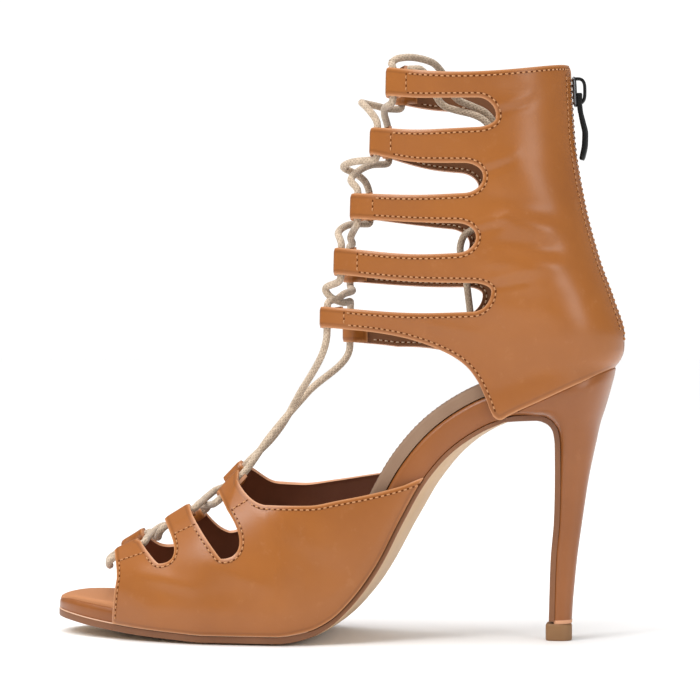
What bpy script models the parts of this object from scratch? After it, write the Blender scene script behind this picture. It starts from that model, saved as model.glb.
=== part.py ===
"""Latin dance shoe for the left foot: open-toe lace-up bootie on a stiletto heel.

Frame: +Z up, floor at z = 0, toe towards -X, outer (lateral) side towards -Y,
origin on the floor under the ball. Tables are in millimetres, meshes in metres.
"""
import math

import bmesh
import bpy
import numpy as np
from mathutils import Matrix, Vector

MM = 0.001
GAP = 0.3                 # clearance between pieces that touch
WALL = 1.3                # leather of the upper
OUTSOLE_EDGE = 2.4        # outsole at its edge under the forefoot
OUTSOLE_WAIST_EDGE = 1.3  # outsole at its edge from the arch to the heel tip
TUCK = 1.0                # midsole inside the outsole's edge
BULGE = 4.0               # upper standing out past the feather line at the ball
BULGE_HEIGHT = 10.0       # height of the widest line above the feather line
HALF_THROAT = 14.5        # middle of the lacing to a strap's front edge
HEEL_ROUND = 25.0         # length of the round end of the heel seat
ANKLE_ROUND = 33.0        # the same at the collar
LOOP_RADIUS = 2.9         # outside radius of a lace loop
STRAP_FLAP = 7.0          # leather turned in behind a strap's loop
TAB_FLAP = 3.6            # leather turned in behind a vamp tab's loop
SLOT_ROUND = 7.0          # length over which an ankle slot closes
ZIP_HALF = 2.7            # half of the opening at the back
TAPE_HALF = 9.6
TAPE_THICK = 0.9
TAPE_IN = 0.75            # tape behind the inner face of the quarter
TAPE_ENDS = (111.5, 214.0)
TEETH_HALF = 1.9
TEETH_THICK = 1.4
TEETH_PITCH = 4.4
TEETH_IN = 1.5            # inner face of the teeth inside the back line
TEETH_ENDS = (113.5, 213.0)
SLIDER_LOW = 202.6
SLIDER_HIGH = 212.4
PLATE_IN = 0.3            # inner and outer faces of the slider's plate outside the back line
PLATE_OUT = 1.6
ARCH_Z = 207.5            # middle of the arch on the plate
ARCH_RADIUS = 2.9
ARCH_THICK = 0.9
HINGE_Z = 206.8
HINGE_OUT = 2.75          # hinge bar outside the back line
BAR_RADIUS = 0.42
PULL_TOP = 203.1          # upper end of the pull's tab
PULL_THICK = 1.4
LACE = 2.8                # diameter of the cord
LIFT_HEIGHT = 6.0
LIFT_X = 115.0            # middle of the top lift
LIFT_HALF_X = 4.9
LIFT_HALF_Y = 4.7


def table(columns, *rows):
    """One array for each named column."""
    return {name: np.array([row[i] for row in rows], float) for i, name in enumerate(columns)}


# Top of the outsole, from the toe to the back of the heel seat
SOLE = table(
    ("x", "z", "lateral", "medial", "cushion", "sock", "lean"),
    (-81.0, 9.0, -3.0, 5.0, 5.2, 1.6, 0.0),
    (-80.2, 8.9, 2.5, 10.0, 5.2, 1.6, 0.0),
    (-77.5, 8.6, 8.0, 15.0, 5.2, 1.6, 0.0),
    (-72.5, 8.0, 13.5, 19.5, 5.4, 1.6, 0.0),
    (-65.0, 7.0, 19.0, 24.5, 5.6, 1.8, 0.0),
    (-55.0, 5.9, 24.5, 30.0, 5.8, 2.0, 0.0),
    (-42.0, 4.7, 30.0, 35.0, 6.0, 2.2, 0.0),
    (-28.0, 3.8, 34.0, 38.0, 6.0, 2.4, 0.0),
    (-14.0, 3.1, 36.5, 38.8, 6.0, 2.6, 0.0),
    (12.0, 3.1, 36.5, 33.5, 6.4, 3.0, 0.0),
    (24.0, 4.9, 33.5, 29.0, 7.0, 3.4, -0.22),
    (32.0, 8.8, 30.8, 25.8, 7.6, 3.8, -0.52),
    (40.0, 16.6, 27.8, 22.5, 8.4, 4.2, -0.74),
    (48.6, 29.0, 24.8, 19.8, 9.2, 4.4, -0.86),
    (57.2, 46.0, 22.6, 18.2, 9.8, 4.6, -0.87),
    (65.5, 60.8, 21.6, 18.2, 10.0, 4.6, -0.80),
    (76.4, 73.2, 21.8, 19.2, 10.0, 4.6, -0.66),
    (89.8, 81.8, 23.0, 21.6, 10.0, 4.6, -0.46),
    (98.5, 85.3, 23.4, 22.6, 10.0, 4.6, -0.40),
    (110.0, 90.6, 23.2, 23.0, 10.0, 4.6, -0.26),
    (120.0, 95.2, 21.7, 21.7, 10.0, 4.6, -0.10),
    (127.0, 98.4, 17.6, 17.6, 10.0, 4.6, 0.02),
    (131.5, 100.5, 12.0, 12.0, 10.0, 4.6, 0.08),
    (133.6, 101.5, 6.0, 6.0, 10.0, 4.6, 0.10),
    (134.2, 101.8, 0.8, 0.8, 10.0, 4.6, 0.10),
)

# Outsole under the middle of the foot: full at the ball and under the arch, thin before and behind it
OUTSOLE_MIDDLE = table(
    ("x", "thick"),
    (20.0, 3.1), (30.0, 2.4), (36.0, 1.9), (44.0, 1.6), (50.0, 2.0), (57.0, 3.0),
    (62.0, 3.4), (68.0, 3.3), (76.0, 2.6), (84.0, 1.8), (92.0, 1.5),
)

# The outsole leaves the heel seat and runs down the front of the heel
FLAP = table(
    ("x", "z", "half", "middle"),
    (96.0, 84.0, 21.5, 1.5),
    (102.0, 84.6, 18.5, 1.5),
    (107.5, 84.8, 15.0, 1.5),
    (112.0, 83.2, 12.0, 1.5),
    (114.6, 79.4, 9.8, 1.5),
    (115.2, 74.0, 8.2, 1.5),
    (115.1, 60.0, 5.8, 1.5),
    (114.7, 45.6, 4.9, 1.5),
    (113.4, 30.7, 4.5, 1.4),
    (112.8, 12.5, 4.3, 1.4),
    (112.7, 7.3, 4.3, 1.4),
)

# Heel block, from the tip to the seat
HEEL = table(
    ("front_x", "front_z", "back_x", "back_z", "half"),
    (113.1, 6.3, 119.8, 6.6, 4.5),
    (113.2, 12.5, 120.2, 12.9, 4.6),
    (113.8, 30.7, 121.9, 31.0, 4.9),
    (115.1, 45.6, 124.0, 46.2, 5.4),
    (115.5, 60.0, 126.4, 62.0, 6.8),
    (115.7, 73.0, 129.0, 74.5, 9.8),
    (115.4, 78.6, 130.6, 82.0, 13.0),
    (113.0, 83.2, 132.8, 89.0, 17.4),
    (108.8, 85.2, 134.8, 96.0, 21.0),
    (103.4, 85.3, 135.9, 100.0, 22.6),
    (97.6, 84.6, 136.4, 102.4, 23.2),
)

# Back and front of the ankle at each height
ANKLE = table(
    ("z", "back", "half", "round", "front"),
    (80.0, 136.0, 24.9, HEEL_ROUND, 12.0),
    (100.0, 136.0, 25.4, HEEL_ROUND, 18.0),
    (103.8, 136.5, 25.8, HEEL_ROUND, 19.2),
    (106.0, 138.1, 26.2, HEEL_ROUND, 20.0),
    (110.0, 139.6, 26.8, 25.6, 21.2),
    (115.0, 139.8, 27.8, 26.2, 22.6),
    (129.0, 135.9, 29.6, 28.0, 25.6),
    (143.8, 130.6, 29.8, 30.0, 29.0),
    (166.5, 124.7, 28.8, 32.0, 35.6),
    (190.1, 121.0, 28.4, ANKLE_ROUND, 43.0),
    (218.0, 119.4, 29.4, ANKLE_ROUND, 49.6),
)

# Lower edge of the quarter: heel seam, tip and arch opening
ARCH_EDGE = table(
    ("x", "z"),
    (20.0, 119.2), (35.3, 117.8), (46.2, 116.7), (57.0, 114.9), (65.1, 112.7), (73.1, 109.6),
    (78.4, 106.8), (82.9, 103.2), (86.9, 97.6), (89.9, 91.0), (92.2, 85.4), (94.6, 83.9),
    (98.5, 85.9), (110.0, 91.2), (120.0, 95.8), (128.0, 99.4), (137.0, 103.4),
)

# Slots between the ankle straps: closed end, middle and front
SLOTS = table(
    ("end_x", "end_z", "mid_low", "mid_high", "front_low", "front_high"),
    (92.0, 131.7, 123.7, 135.2, 126.7, 139.6),
    (86.3, 151.8, 145.6, 157.4, 149.1, 160.5),
    (88.9, 174.1, 167.8, 179.7, 169.5, 186.5),
    (93.8, 196.2, 192.1, 203.8, 194.4, 207.1),
)
SLOT_MID_X = 67.0
STRAP_FRONT = {"lateral": (24.0, 29.3, 35.6, 43.0, 49.2), "medial": (28.5, 28.2, 36.0, 43.2, 48.0)}
COUNTER_ROWS = ((0, 0.17, 0.34, 0.65), (0, 0.5), (0, 0.5), (0, 0.5), (0, 0.5))
COUNTER_COLUMNS = (0, 0.1, 0.2, 0.3, 0.4, 0.5, 0.6, 0.68, 0.74, 0.79, 0.83, 0.87, 0.91, 0.95, 1)
MEDIAL_DROP = 5.0         # the lowest inner strap hangs lower at its front
MEDIAL_HIGHER = (-1.8, 1.8, 2.0, 0.6)   # upper edge of each inner slot at its front, above the outer one
MEDIAL_SHORT = (9.0, 8.5, 7.5, 7.5)     # how much further forward each inner slot ends than the outer one

# Height of the instep's ridge above the floor along the forefoot
RIDGE = table(
    ("x", "z"),
    (-60.0, 37.0), (-55.0, 39.8), (-46.0, 43.6), (-35.5, 49.8), (-26.0, 55.2), (-14.0, 62.6),
    (-8.0, 67.4), (9.0, 80.0), (24.0, 92.0), (40.0, 102.0), (66.0, 116.0),
)

# Top line of the vamp below its tabs; foot is the x of the same column on the feather line
VAMP_EDGE = {
    "lateral": table(
        ("foot", "x", "z"),
        (-52.8, -50.4, 23.0),
        (-24.0, -33.0, 29.9),
        (4.0, -8.0, 32.4),
        (20.0, 8.9, 52.2),
        (30.0, 23.7, 52.1),
        (40.0, 35.3, 54.0),
        (49.0, 46.5, 56.2),
        (58.0, 57.7, 59.1),
        (64.4, 66.0, 62.0),
    ),
    "medial": table(
        ("foot", "x", "z"),
        (-57.6, -56.8, 23.5),
        (-31.0, -42.0, 32.0),
        (-4.0, -20.5, 37.2),
        (16.0, 1.0, 57.8),
        (27.0, 12.0, 57.2),
        (37.0, 25.0, 58.8),
        (47.0, 40.0, 61.2),
        (57.0, 54.7, 63.4),
        (64.4, 66.0, 65.0),
    ),
}

# Both edges of each vamp tab, as cubic curves in the side view
TABS = {
    "lateral": (
        {"left": ((-50.4, 23.0), (-50.3, 26.5), (-52.2, 31.0), (-54.0, 35.0)),
         "right": ((-33.0, 29.9), (-35.0, 30.8), (-41.0, 36.6), (-44.9, 39.4))},
        {"left": ((-33.0, 29.9), (-25.0, 30.3), (-24.5, 37.0), (-35.2, 46.6)),
         "right": ((-8.0, 32.4), (-11.0, 35.5), (-20.0, 46.5), (-26.0, 52.4))},
        {"left": ((-8.0, 32.4), (2.0, 32.2), (2.0, 44.5), (-14.8, 56.6)),
         "right": ((8.9, 52.2), (3.0, 52.0), (-2.6, 58.0), (-8.4, 64.6))},
    ),
    "medial": (
        {"left": ((-56.8, 23.5), (-57.0, 26.5), (-59.4, 31.0), (-61.0, 34.4)),
         "right": ((-42.0, 32.0), (-48.0, 31.0), (-50.4, 34.0), (-51.4, 40.2))},
        {"left": ((-42.0, 32.0), (-35.5, 32.0), (-34.5, 38.0), (-38.6, 44.4)),
         "right": ((-20.5, 37.2), (-24.0, 38.4), (-27.0, 41.4), (-29.6, 49.4))},
        {"left": ((-20.5, 37.2), (-12.0, 37.2), (-10.0, 47.0), (-17.0, 60.4)),
         "right": ((1.0, 57.8), (-3.0, 58.2), (-5.6, 62.0), (-10.2, 67.4))},
    ),
}
TAB_SAG = ((0.0, -1.0), (1.5, -4.0), (2.5, -9.0))     # of the seam below each tab, under a straight one

LEATHER = (0.48, 0.19, 0.065)
MATERIALS = {
    "outsole_leather": ((0.30, 0.13, 0.05), 0.6, 0.0),
    "upper_leather": (LEATHER, 0.4, 0.0),
    "wrapped_leather": (LEATHER, 0.42, 0.0),
    "sock_fabric": ((0.24, 0.16, 0.11), 0.8, 0.0),
    "lift_rubber": ((0.25, 0.14, 0.06), 0.5, 0.0),
    "zip_tape_cloth": ((0.02, 0.02, 0.02), 0.8, 0.0),
    "zip_metal": ((0.55, 0.55, 0.56), 0.3, 1.0),
    "pull_metal": ((0.03, 0.03, 0.03), 0.35, 1.0),
    "lace_cotton": ((0.60, 0.51, 0.37), 0.85, 0.0),
}


# ---- helpers ----

def smooth(xs, ys, at):
    """Cubic curve through the points, with no overshoot between them."""
    step = np.diff(xs)
    rise = np.diff(ys) / step
    slope = np.zeros(len(xs))
    same = rise[1:] * rise[:-1] > 0
    left, right = rise[:-1][same], rise[1:][same]
    a, b = step[:-1][same], step[1:][same]
    slope[1:-1][same] = 3 * (a + b) / ((2 * b + a) / left + (b + 2 * a) / right)
    slope[0], slope[-1] = rise[0], rise[-1]
    at = np.clip(at, xs[0], xs[-1])
    i = np.clip(np.searchsorted(xs, at, side="right") - 1, 0, len(step) - 1)
    t = (at - xs[i]) / step[i]
    h = step[i]
    return (ys[i] * (1 + 2 * t) * (1 - t) ** 2 + h * slope[i] * t * (1 - t) ** 2
            + ys[i + 1] * t * t * (3 - 2 * t) + h * slope[i + 1] * t * t * (t - 1))


def cubic(points, t):
    """Cubic curve with four control points."""
    p = np.array(points, float)
    t = np.asarray(t)[..., None]
    return (1 - t) ** 3 * p[0] + 3 * t * (1 - t) ** 2 * p[1] + 3 * t * t * (1 - t) * p[2] + t ** 3 * p[3]


def unit(v):
    return v / np.linalg.norm(v, axis=-1, keepdims=True)


def collection(name):
    made = bpy.data.collections.new(name)
    bpy.context.scene.collection.children.link(made)
    return made


def material(name):
    if name in bpy.data.materials:
        return bpy.data.materials[name]
    colour, roughness, metallic = MATERIALS[name]
    made = bpy.data.materials.new(name)
    made.use_nodes = True
    shader = made.node_tree.nodes["Principled BSDF"]
    shader.inputs["Base Color"].default_value = (*colour, 1.0)
    shader.inputs["Roughness"].default_value = roughness
    shader.inputs["Metallic"].default_value = metallic
    return made


def add_object(name, points, faces, finish, parts, wall=0.0, outward=True):
    """Mesh object from points in millimetres; a wall turns an open sheet into a shell."""
    mesh = bpy.data.meshes.new(name)
    mesh.from_pydata((np.asarray(points) * MM).tolist(), [], faces)
    bm = bmesh.new()
    bm.from_mesh(mesh)
    bmesh.ops.remove_doubles(bm, verts=bm.verts, dist=0.00002)
    if outward:
        bmesh.ops.recalc_face_normals(bm, faces=bm.faces)
    bm.to_mesh(mesh)
    bm.free()
    made = bpy.data.objects.new(name, mesh)
    parts.objects.link(made)
    mesh.materials.append(material(finish))
    if wall:
        shell = made.modifiers.new("wall", "SOLIDIFY")
        shell.thickness = wall * MM
        shell.offset = -1.0
        shell.use_quality_normals = True
    mesh.shade_smooth()
    mesh.set_sharp_from_angle(angle=math.radians(40))
    return made


def loft(rings):
    """Points and faces of a closed body through rings of equal size."""
    rings = np.asarray(rings)
    count, size, _ = rings.shape
    faces = []
    for i in range(count - 1):
        for j in range(size):
            k = (j + 1) % size
            faces.append((i * size + j, i * size + k, (i + 1) * size + k, (i + 1) * size + j))
    faces.append(tuple(range(size))[::-1])
    faces.append(tuple((count - 1) * size + j for j in range(size)))
    return rings.reshape(-1, 3), faces


class Sheet:
    """Open sheet put together from grids of points that share their edges."""

    def __init__(self):
        self.points = []
        self.faces = []

    def add(self, grid, flip=False):
        rows, columns, _ = grid.shape
        start = len(self.points)
        self.points.extend(grid.reshape(-1, 3).tolist())
        for i in range(rows - 1):
            for j in range(columns - 1):
                a = start + i * columns + j
                face = (a, a + 1, a + columns + 1, a + columns)
                self.faces.append(face[::-1] if flip else face)


# ---- sole ----

def along_sole(step=7.5, last_x=None):
    """Stations along the sole, closer together at both round ends."""
    row = np.concatenate([[0.0], np.cumsum(np.hypot(np.diff(SOLE["x"]), np.diff(SOLE["z"])))])
    at = []
    for a, b in zip(row[:-1], row[1:]):
        pieces = max(1, int(round((b - a) / step)))
        at.extend(np.linspace(a, b, pieces, endpoint=False))
    at = np.array(at + [row[-1]])
    line = {name: smooth(row, values, at) for name, values in SOLE.items()}
    if last_x is not None:
        keep = line["x"] <= last_x
        line = {name: values[keep] for name, values in line.items()}
    return line


def sole_rings(line, inset, low, high, bulge, corner):
    """Rings of a layer of the sole between two heights over the outsole's top."""
    up = np.stack([line["lean"], np.zeros_like(line["lean"]), np.sqrt(1 - line["lean"] ** 2)], axis=-1)
    base = np.stack([line["x"], np.zeros_like(line["x"]), line["z"]], axis=-1)
    middle = (line["medial"] - line["lateral"]) / 2
    half = (line["medial"] + line["lateral"]) / 2
    half = np.maximum(half - inset * np.minimum(half / 8, 1), 0.4)
    rings = []
    for i in range(len(half)):
        a, b = low[i], high[i]
        ease = min(corner, (b - a) / 3)
        inner = max(0.5, 1 - 1.5 * ease / half[i])
        side = np.array([-1, -0.62, 0.62, 1, 1, inner, -inner, -1])
        height = np.array([a, a - bulge[i], a - bulge[i], a, b - ease, b, b, b - ease])
        ring = base[i] + height[:, None] * up[i]
        ring[:, 1] = middle[i] + side * half[i]
        rings.append(ring)
    return rings


def outsole(parts):
    """Thin sole whose edge shows, fuller under the middle of the foot, flat under the ball."""
    line = along_sole(last_x=90.0)
    forefoot = np.clip((36.0 - line["x"]) / 16.0, 0, 1)
    edge = OUTSOLE_WAIST_EDGE + (OUTSOLE_EDGE - OUTSOLE_WAIST_EDGE) * forefoot
    middle = np.maximum(smooth(OUTSOLE_MIDDLE["x"], OUTSOLE_MIDDLE["thick"], line["x"]), edge)
    rings = sole_rings(line, 0.0, -edge, np.zeros_like(edge), middle - edge, 0.4)
    path = np.concatenate([[0.0], np.cumsum(np.hypot(np.diff(FLAP["x"]), np.diff(FLAP["z"])))])
    at = np.sort(np.concatenate([path, (path[3:6] + path[4:7]) / 2]))
    flap = {name: smooth(path, values, at) for name, values in FLAP.items()}
    tangent = unit(np.stack([np.gradient(flap["x"], at), np.gradient(flap["z"], at)], axis=-1))
    side = np.array([-1, -0.62, 0.62, 1, 1, 0.8, -0.8, -1])
    for i in range(len(at)):
        normal = np.array([-tangent[i, 1], 0.0, tangent[i, 0]])
        low = -flap["middle"][i]
        edge_low = -min(OUTSOLE_WAIST_EDGE, flap["middle"][i])
        height = np.array([edge_low, low, low, edge_low, 0, 0, 0, 0], float)
        ring = np.array([flap["x"][i], 0.0, flap["z"][i]]) + height[:, None] * normal
        ring[:, 1] = side * flap["half"][i]
        rings.append(ring)
    points, faces = loft(rings)
    points[:, 2] = np.maximum(points[:, 2], 0.0)
    return add_object("outsole", points, faces, "outsole_leather", parts)


def midsole(parts):
    """Leather-wrapped platform on the outsole, covered by the upper except at the toe and arch."""
    line = along_sole()
    low = np.full_like(line["x"], GAP)
    rings = sole_rings(line, TUCK, low, low + line["cushion"], np.zeros_like(low), 1.2)
    return add_object("midsole", *loft(rings), "wrapped_leather", parts)


def insole(parts):
    """Padded sock on the platform."""
    line = along_sole()
    low = 2 * GAP + line["cushion"]
    rings = sole_rings(line, TUCK + 0.7, low, low + line["sock"], np.zeros_like(low), 1.0)
    return add_object("insole", *loft(rings), "sock_fabric", parts)


def heel(parts):
    """Stiletto block: flat front, round back, spreading under the heel seat."""
    rows = np.arange(len(HEEL["half"]), dtype=float)
    at = np.sort(np.concatenate([rows, rows[6:-2] + 0.5]))
    line = {name: smooth(rows, values, at) for name, values in HEEL.items()}
    angle = np.linspace(0, 2 * math.pi, 20, endpoint=False)
    c, s = np.cos(angle), np.sin(angle)
    rings = []
    for i in range(len(at)):
        front = np.array([line["front_x"][i], line["front_z"][i]])
        back = np.array([line["back_x"][i], line["back_z"][i]])
        reach = np.where(c < 0, 0.42, 0.58)
        power = np.where(c < 0, 4.5, 2.2)
        p = 0.42 + reach * np.sign(c) * np.abs(c) ** (2 / power)
        y = line["half"][i] * np.sign(s) * np.abs(s) ** (2 / power)
        spot = front + p[:, None] * (back - front)
        rings.append(np.stack([spot[:, 0], y, spot[:, 1]], axis=-1))
    return add_object("heel", *loft(rings), "wrapped_leather", parts)


def top_lift(parts):
    """Wear piece under the heel tip."""
    angle = np.linspace(0, 2 * math.pi, 16, endpoint=False)
    c, s = np.cos(angle), np.sin(angle)
    rings = []
    for z, grow in ((0.0, -0.3), (0.4, 0.0), (LIFT_HEIGHT, 0.0)):
        half_x, half_y = LIFT_HALF_X + grow, LIFT_HALF_Y + grow
        x = LIFT_X + half_x * np.sign(c) * np.abs(c) ** (2 / np.where(c < 0, 5, 2.4))
        y = half_y * np.sign(s) * np.abs(s) ** (2 / np.where(c < 0, 5, 2.4))
        rings.append(np.stack([x, y, np.full_like(x, z)], axis=-1))
    return add_object("top_lift", *loft(rings), "lift_rubber", parts)


# ---- vamp ----

def feather_height(x):
    return smooth(SOLE["x"][:19], SOLE["z"][:19], x)


def last_half(x, z, side):
    """Half width of the last over the forefoot at a place in the side view."""
    foot = feather_height(x)
    edge = smooth(SOLE["x"][:19], SOLE[side][:19], x)
    bulge = np.interp(x, (-56.0, -14.0, 10.0, 40.0, 66.0), (3.2, BULGE, BULGE, 2.6, 1.9))
    widest = edge + bulge
    waist = foot + BULGE_HEIGHT
    ridge = smooth(RIDGE["x"], RIDGE["z"], x)
    over = np.clip((z - waist) / (ridge - waist), 0, 0.999)
    under = np.clip((waist - z) / BULGE_HEIGHT, 0, 1)
    return widest * (1 - over ** 2.1) ** (1 / 2.1) - (bulge - 0.8) * under ** 2


def on_last(flat, side):
    """Lift a place in the side view on to the last."""
    sign = -1.0 if side == "lateral" else 1.0
    y = sign * last_half(flat[..., 0], flat[..., 1], side)
    return np.stack([flat[..., 0], y, flat[..., 1]], axis=-1)


def fold_run(grid):
    """Directions of a strap at its end: along its run, square to the fold, and along the fold."""
    across = unit(grid[-1][-1] - grid[-1][0])
    run = unit(np.mean(grid[-1] - grid[-2], axis=0))
    return unit(run - np.dot(run, across) * across), across


def lace_loop(grid, flap):
    """Rows that carry a strap round the lace and back behind itself, and the loop's middle line."""
    run, across = fold_run(grid)
    inward = np.cross(run, across)
    inward *= -np.sign(inward[1] * grid[-1][0, 1])
    rows = [grid[-1]]
    for angle in np.linspace(0, math.pi, 7)[1:]:
        rows.append(grid[-1] + LOOP_RADIUS * (math.sin(angle) * run + (1 - math.cos(angle)) * inward))
    rest = 2 * WALL + 2 * GAP
    for part in (0.5, 1.0):
        ease = part * part * (3 - 2 * part)
        depth = 2 * LOOP_RADIUS + (rest - 2 * LOOP_RADIUS) * ease
        rows.append(grid[-1] - flap * part * run + depth * inward)
    middle = grid[-1] + LOOP_RADIUS * inward
    return np.stack(rows), (middle[0], middle[-1])


def seam_sag(k, part):
    """How far the seam below a tab hangs under a straight one."""
    return np.array(TAB_SAG[k]) * np.sin(math.pi * part)[:, None]


def vamp(side, parts, loops):
    """One side of the forefoot upper: lower panel, three tabs and their lace loops."""
    sheet = Sheet()
    flip = side == "medial"
    edge = VAMP_EDGE[side]
    stations = np.array([0, 0.33, 0.67, 1, 1.33, 1.67, 2, 2.33, 2.67, 3, 3.4, 3.8, 4.3, 4.8, 5.3, 5.8,
                         6.4, 7, 7.5, 8.0])
    rows = np.arange(len(edge["x"]), dtype=float)
    foot_x = smooth(rows, edge["foot"], stations)
    top = np.stack([np.interp(stations, rows, edge["x"]), np.interp(stations, rows, edge["z"])], axis=-1)
    rear = stations > 3
    top[rear, 1] = smooth(rows[3:], edge["z"][3:], stations[rear])
    top[rear, 0] = smooth(rows[3:], edge["x"][3:], stations[rear])
    for k in range(len(TAB_SAG)):
        inside = (stations >= k) & (stations <= k + 1)
        top[inside] += seam_sag(k, stations[inside] - k)
    foot = np.stack([foot_x, feather_height(foot_x) + GAP], axis=-1)
    rise = np.array([0, 0.12, 0.28, 0.48, 0.74, 1.0])[:, None, None]
    sheet.add(on_last(foot + rise * (top - foot), side), flip)
    for k, tab in enumerate(TABS[side]):
        rows_at = np.array([0, 0.08, 0.22, 0.42, 0.62, 0.8, 1.0])
        left, right = cubic(tab["left"], rows_at), cubic(tab["right"], rows_at)
        inside = (stations >= k) & (stations <= k + 1)
        across = stations[inside] - k
        flat = left[:, None] + across[None, :, None] * (right - left)[:, None]
        flat = flat + seam_sag(k, across)[None] * ((1 - rows_at) ** 2)[:, None, None]
        grid = on_last(flat, side)
        grid[-1] -= LOOP_RADIUS * fold_run(grid)[0]
        sheet.add(grid, flip)
        rows, loops[side, k] = lace_loop(grid, TAB_FLAP)
        sheet.add(rows, flip)
    return add_object("vamp_" + side, sheet.points, sheet.faces, "upper_leather", parts, WALL, False)


# ---- quarter ----

def ankle(name, z):
    return smooth(ANKLE["z"], ANKLE[name], z)


def ankle_front_axis(z):
    """Distance from the widest line to the point where the plan outline would close in front."""
    reach = 1 - (HALF_THROAT / ankle("half", z)) ** (2 / 0.9)
    return (ankle("back", z) - ankle("round", z) - ankle("front", z)) / np.sqrt(reach)


def ankle_half(x, z):
    """Half width of the ankle at a place in the side view."""
    widest = ankle("back", z) - ankle("round", z)
    axis = np.where(x > widest, ankle("round", z), ankle_front_axis(z))
    off = np.clip((x - widest) / axis, -1, 1)
    return ankle("half", z) * (1 - off ** 2) ** 0.45


def arch_edge(x, side):
    """Height of the quarter's lower edge."""
    drop = MEDIAL_DROP * np.clip((80.0 - x) / 30.0, 0, 1) if side == "medial" else 0.0
    return smooth(ARCH_EDGE["x"], ARCH_EDGE["z"], x) - drop


def collar_edge(x):
    return 213.0 + 4.0 * ((x - 84.0) / 34.0) ** 2


def slot_ends(side):
    """Side-view x of the closed ends of one side's slots."""
    return SLOTS["end_x"] - np.array(MEDIAL_SHORT) * (side == "medial")


def slot_end_x(z, side):
    """Line through the closed ends of the slots."""
    zs = np.concatenate([[106.0], SLOTS["end_z"], [218.0]])
    xs = np.concatenate([[79.0], slot_ends(side), [95.0]])
    return smooth(zs, xs, z)


def slot_edge(k, x, high, side):
    """Height of a slot's upper or lower edge along the strap."""
    front = STRAP_FRONT["lateral"][k]
    end = slot_ends(side)[k]
    knots = np.array([front, SLOT_MID_X, end])
    low = smooth(knots, np.array([SLOTS["front_low"][k], SLOTS["mid_low"][k],
                                  SLOTS["mid_low"][k] + 0.6]), x)
    top = smooth(knots, np.array([SLOTS["front_high"][k], SLOTS["mid_high"][k],
                                  SLOTS["mid_high"][k] - 0.6]), x)
    if side == "medial" and k == 0:
        low = low - MEDIAL_DROP * np.clip((80.0 - x) / 45.0, 0, 1)
    closing = np.sqrt(np.clip(1 - np.clip(1 - (end - x) / SLOT_ROUND, 0, 1) ** 2, 0, 1))
    if side == "medial":
        top = top + MEDIAL_HIGHER[k] * np.clip((80.0 - x) / 45.0, 0, 1)
    target = top if high else low
    return SLOTS["end_z"][k] + (target - SLOTS["end_z"][k]) * closing


def quarter_column(part, z, side):
    """Side-view x of a column of the counter: part runs from 0 at the back to 1 at the slot ends."""
    length = ankle("round", z)
    widest = ankle("back", z) - length
    end = (slot_end_x(z, side) - widest) / length
    end_turn = np.where(end > 0, np.arccos(np.clip(end, 0, 1)), math.pi / 2 - end)
    turn = part * end_turn
    return widest + length * np.where(turn < math.pi / 2, np.cos(turn), math.pi / 2 - turn)


def counter_grid(side):
    """Counter from the heel seam to the collar and from the back to the slot ends."""
    parts_at = np.array(COUNTER_COLUMNS)
    low, high = np.full_like(parts_at, 80.0), np.full_like(parts_at, 125.0)
    for _ in range(40):
        middle = (low + high) / 2
        above = middle > arch_edge(quarter_column(parts_at, middle, side), side)
        high = np.where(above, middle, high)
        low = np.where(above, low, middle)
    bottom = high
    collar = collar_edge(quarter_column(parts_at, np.full_like(parts_at, 214.0), side))
    levels = [bottom] + [np.full_like(bottom, z) for z in SLOTS["end_z"]] + [collar]
    rows = []
    for lower, upper, parts in zip(levels[:-1], levels[1:], COUNTER_ROWS):
        for part in parts:
            rows.append(lower + part * (upper - lower))
    z = np.stack(rows + [levels[-1]])
    x = quarter_column(parts_at[None, :], z, side)
    y = ankle_half(x, z)
    open_half = np.where(np.arange(len(z)) >= 2, ZIP_HALF, 0.0)
    y[:, 0] = open_half
    x[:, 0] = ankle("back", z[:, 0]) - 0.25 * (open_half > 0)
    return np.stack([x, y, z], axis=-1)


def strap_grid(side, k, start):
    """One strap from the slot ends to where its loop begins; start is its row on the counter."""
    front = STRAP_FRONT[side][k] + LOOP_RADIUS
    along = np.concatenate([[0, 0.04, 0.1, 0.2, 0.32], np.linspace(0.32, 1, 6)[1:]])
    across = np.linspace(0, 1, len(start))
    x = start[:, 0][:, None] + along[None, :] * (front - start[:, 0][:, None])
    if k == 0:
        low = arch_edge(x, side)
        low[:, 0] = start[0, 2]
    else:
        low = slot_edge(k - 1, np.minimum(x, slot_ends(side)[k - 1]), True, side)
    if k == 4:
        high = collar_edge(x)
        high[:, 0] = start[-1, 2]
    else:
        high = slot_edge(k, np.minimum(x, slot_ends(side)[k]), False, side)
    z = low + across[:, None] * (high - low)
    z[:, 0] = start[:, 2]
    return np.stack([x, ankle_half(x, z), z], axis=-1)


def quarter(parts, loops):
    """Heel and ankle leather in one piece, open at the collar, front, slots and zip."""
    sheet = Sheet()
    for side, sign in (("lateral", -1.0), ("medial", 1.0)):
        mirror = np.array([1.0, sign, 1.0])
        counter = counter_grid(side)
        sheet.add(counter * mirror, side == "lateral")
        row = 0
        for k, count in enumerate(len(parts) for parts in COUNTER_ROWS):
            grid = strap_grid(side, k, counter[row:row + count + 1, -1])
            sheet.add(grid * mirror, side == "lateral")
            ends = np.swapaxes(grid[:, -2:], 0, 1) * mirror
            rows, loops[side, k + 3] = lace_loop(ends, STRAP_FLAP)
            sheet.add(rows, side == "medial")
            row += count
    return add_object("quarter", sheet.points, sheet.faces, "upper_leather", parts, WALL, False)


# ---- zip ----

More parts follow.
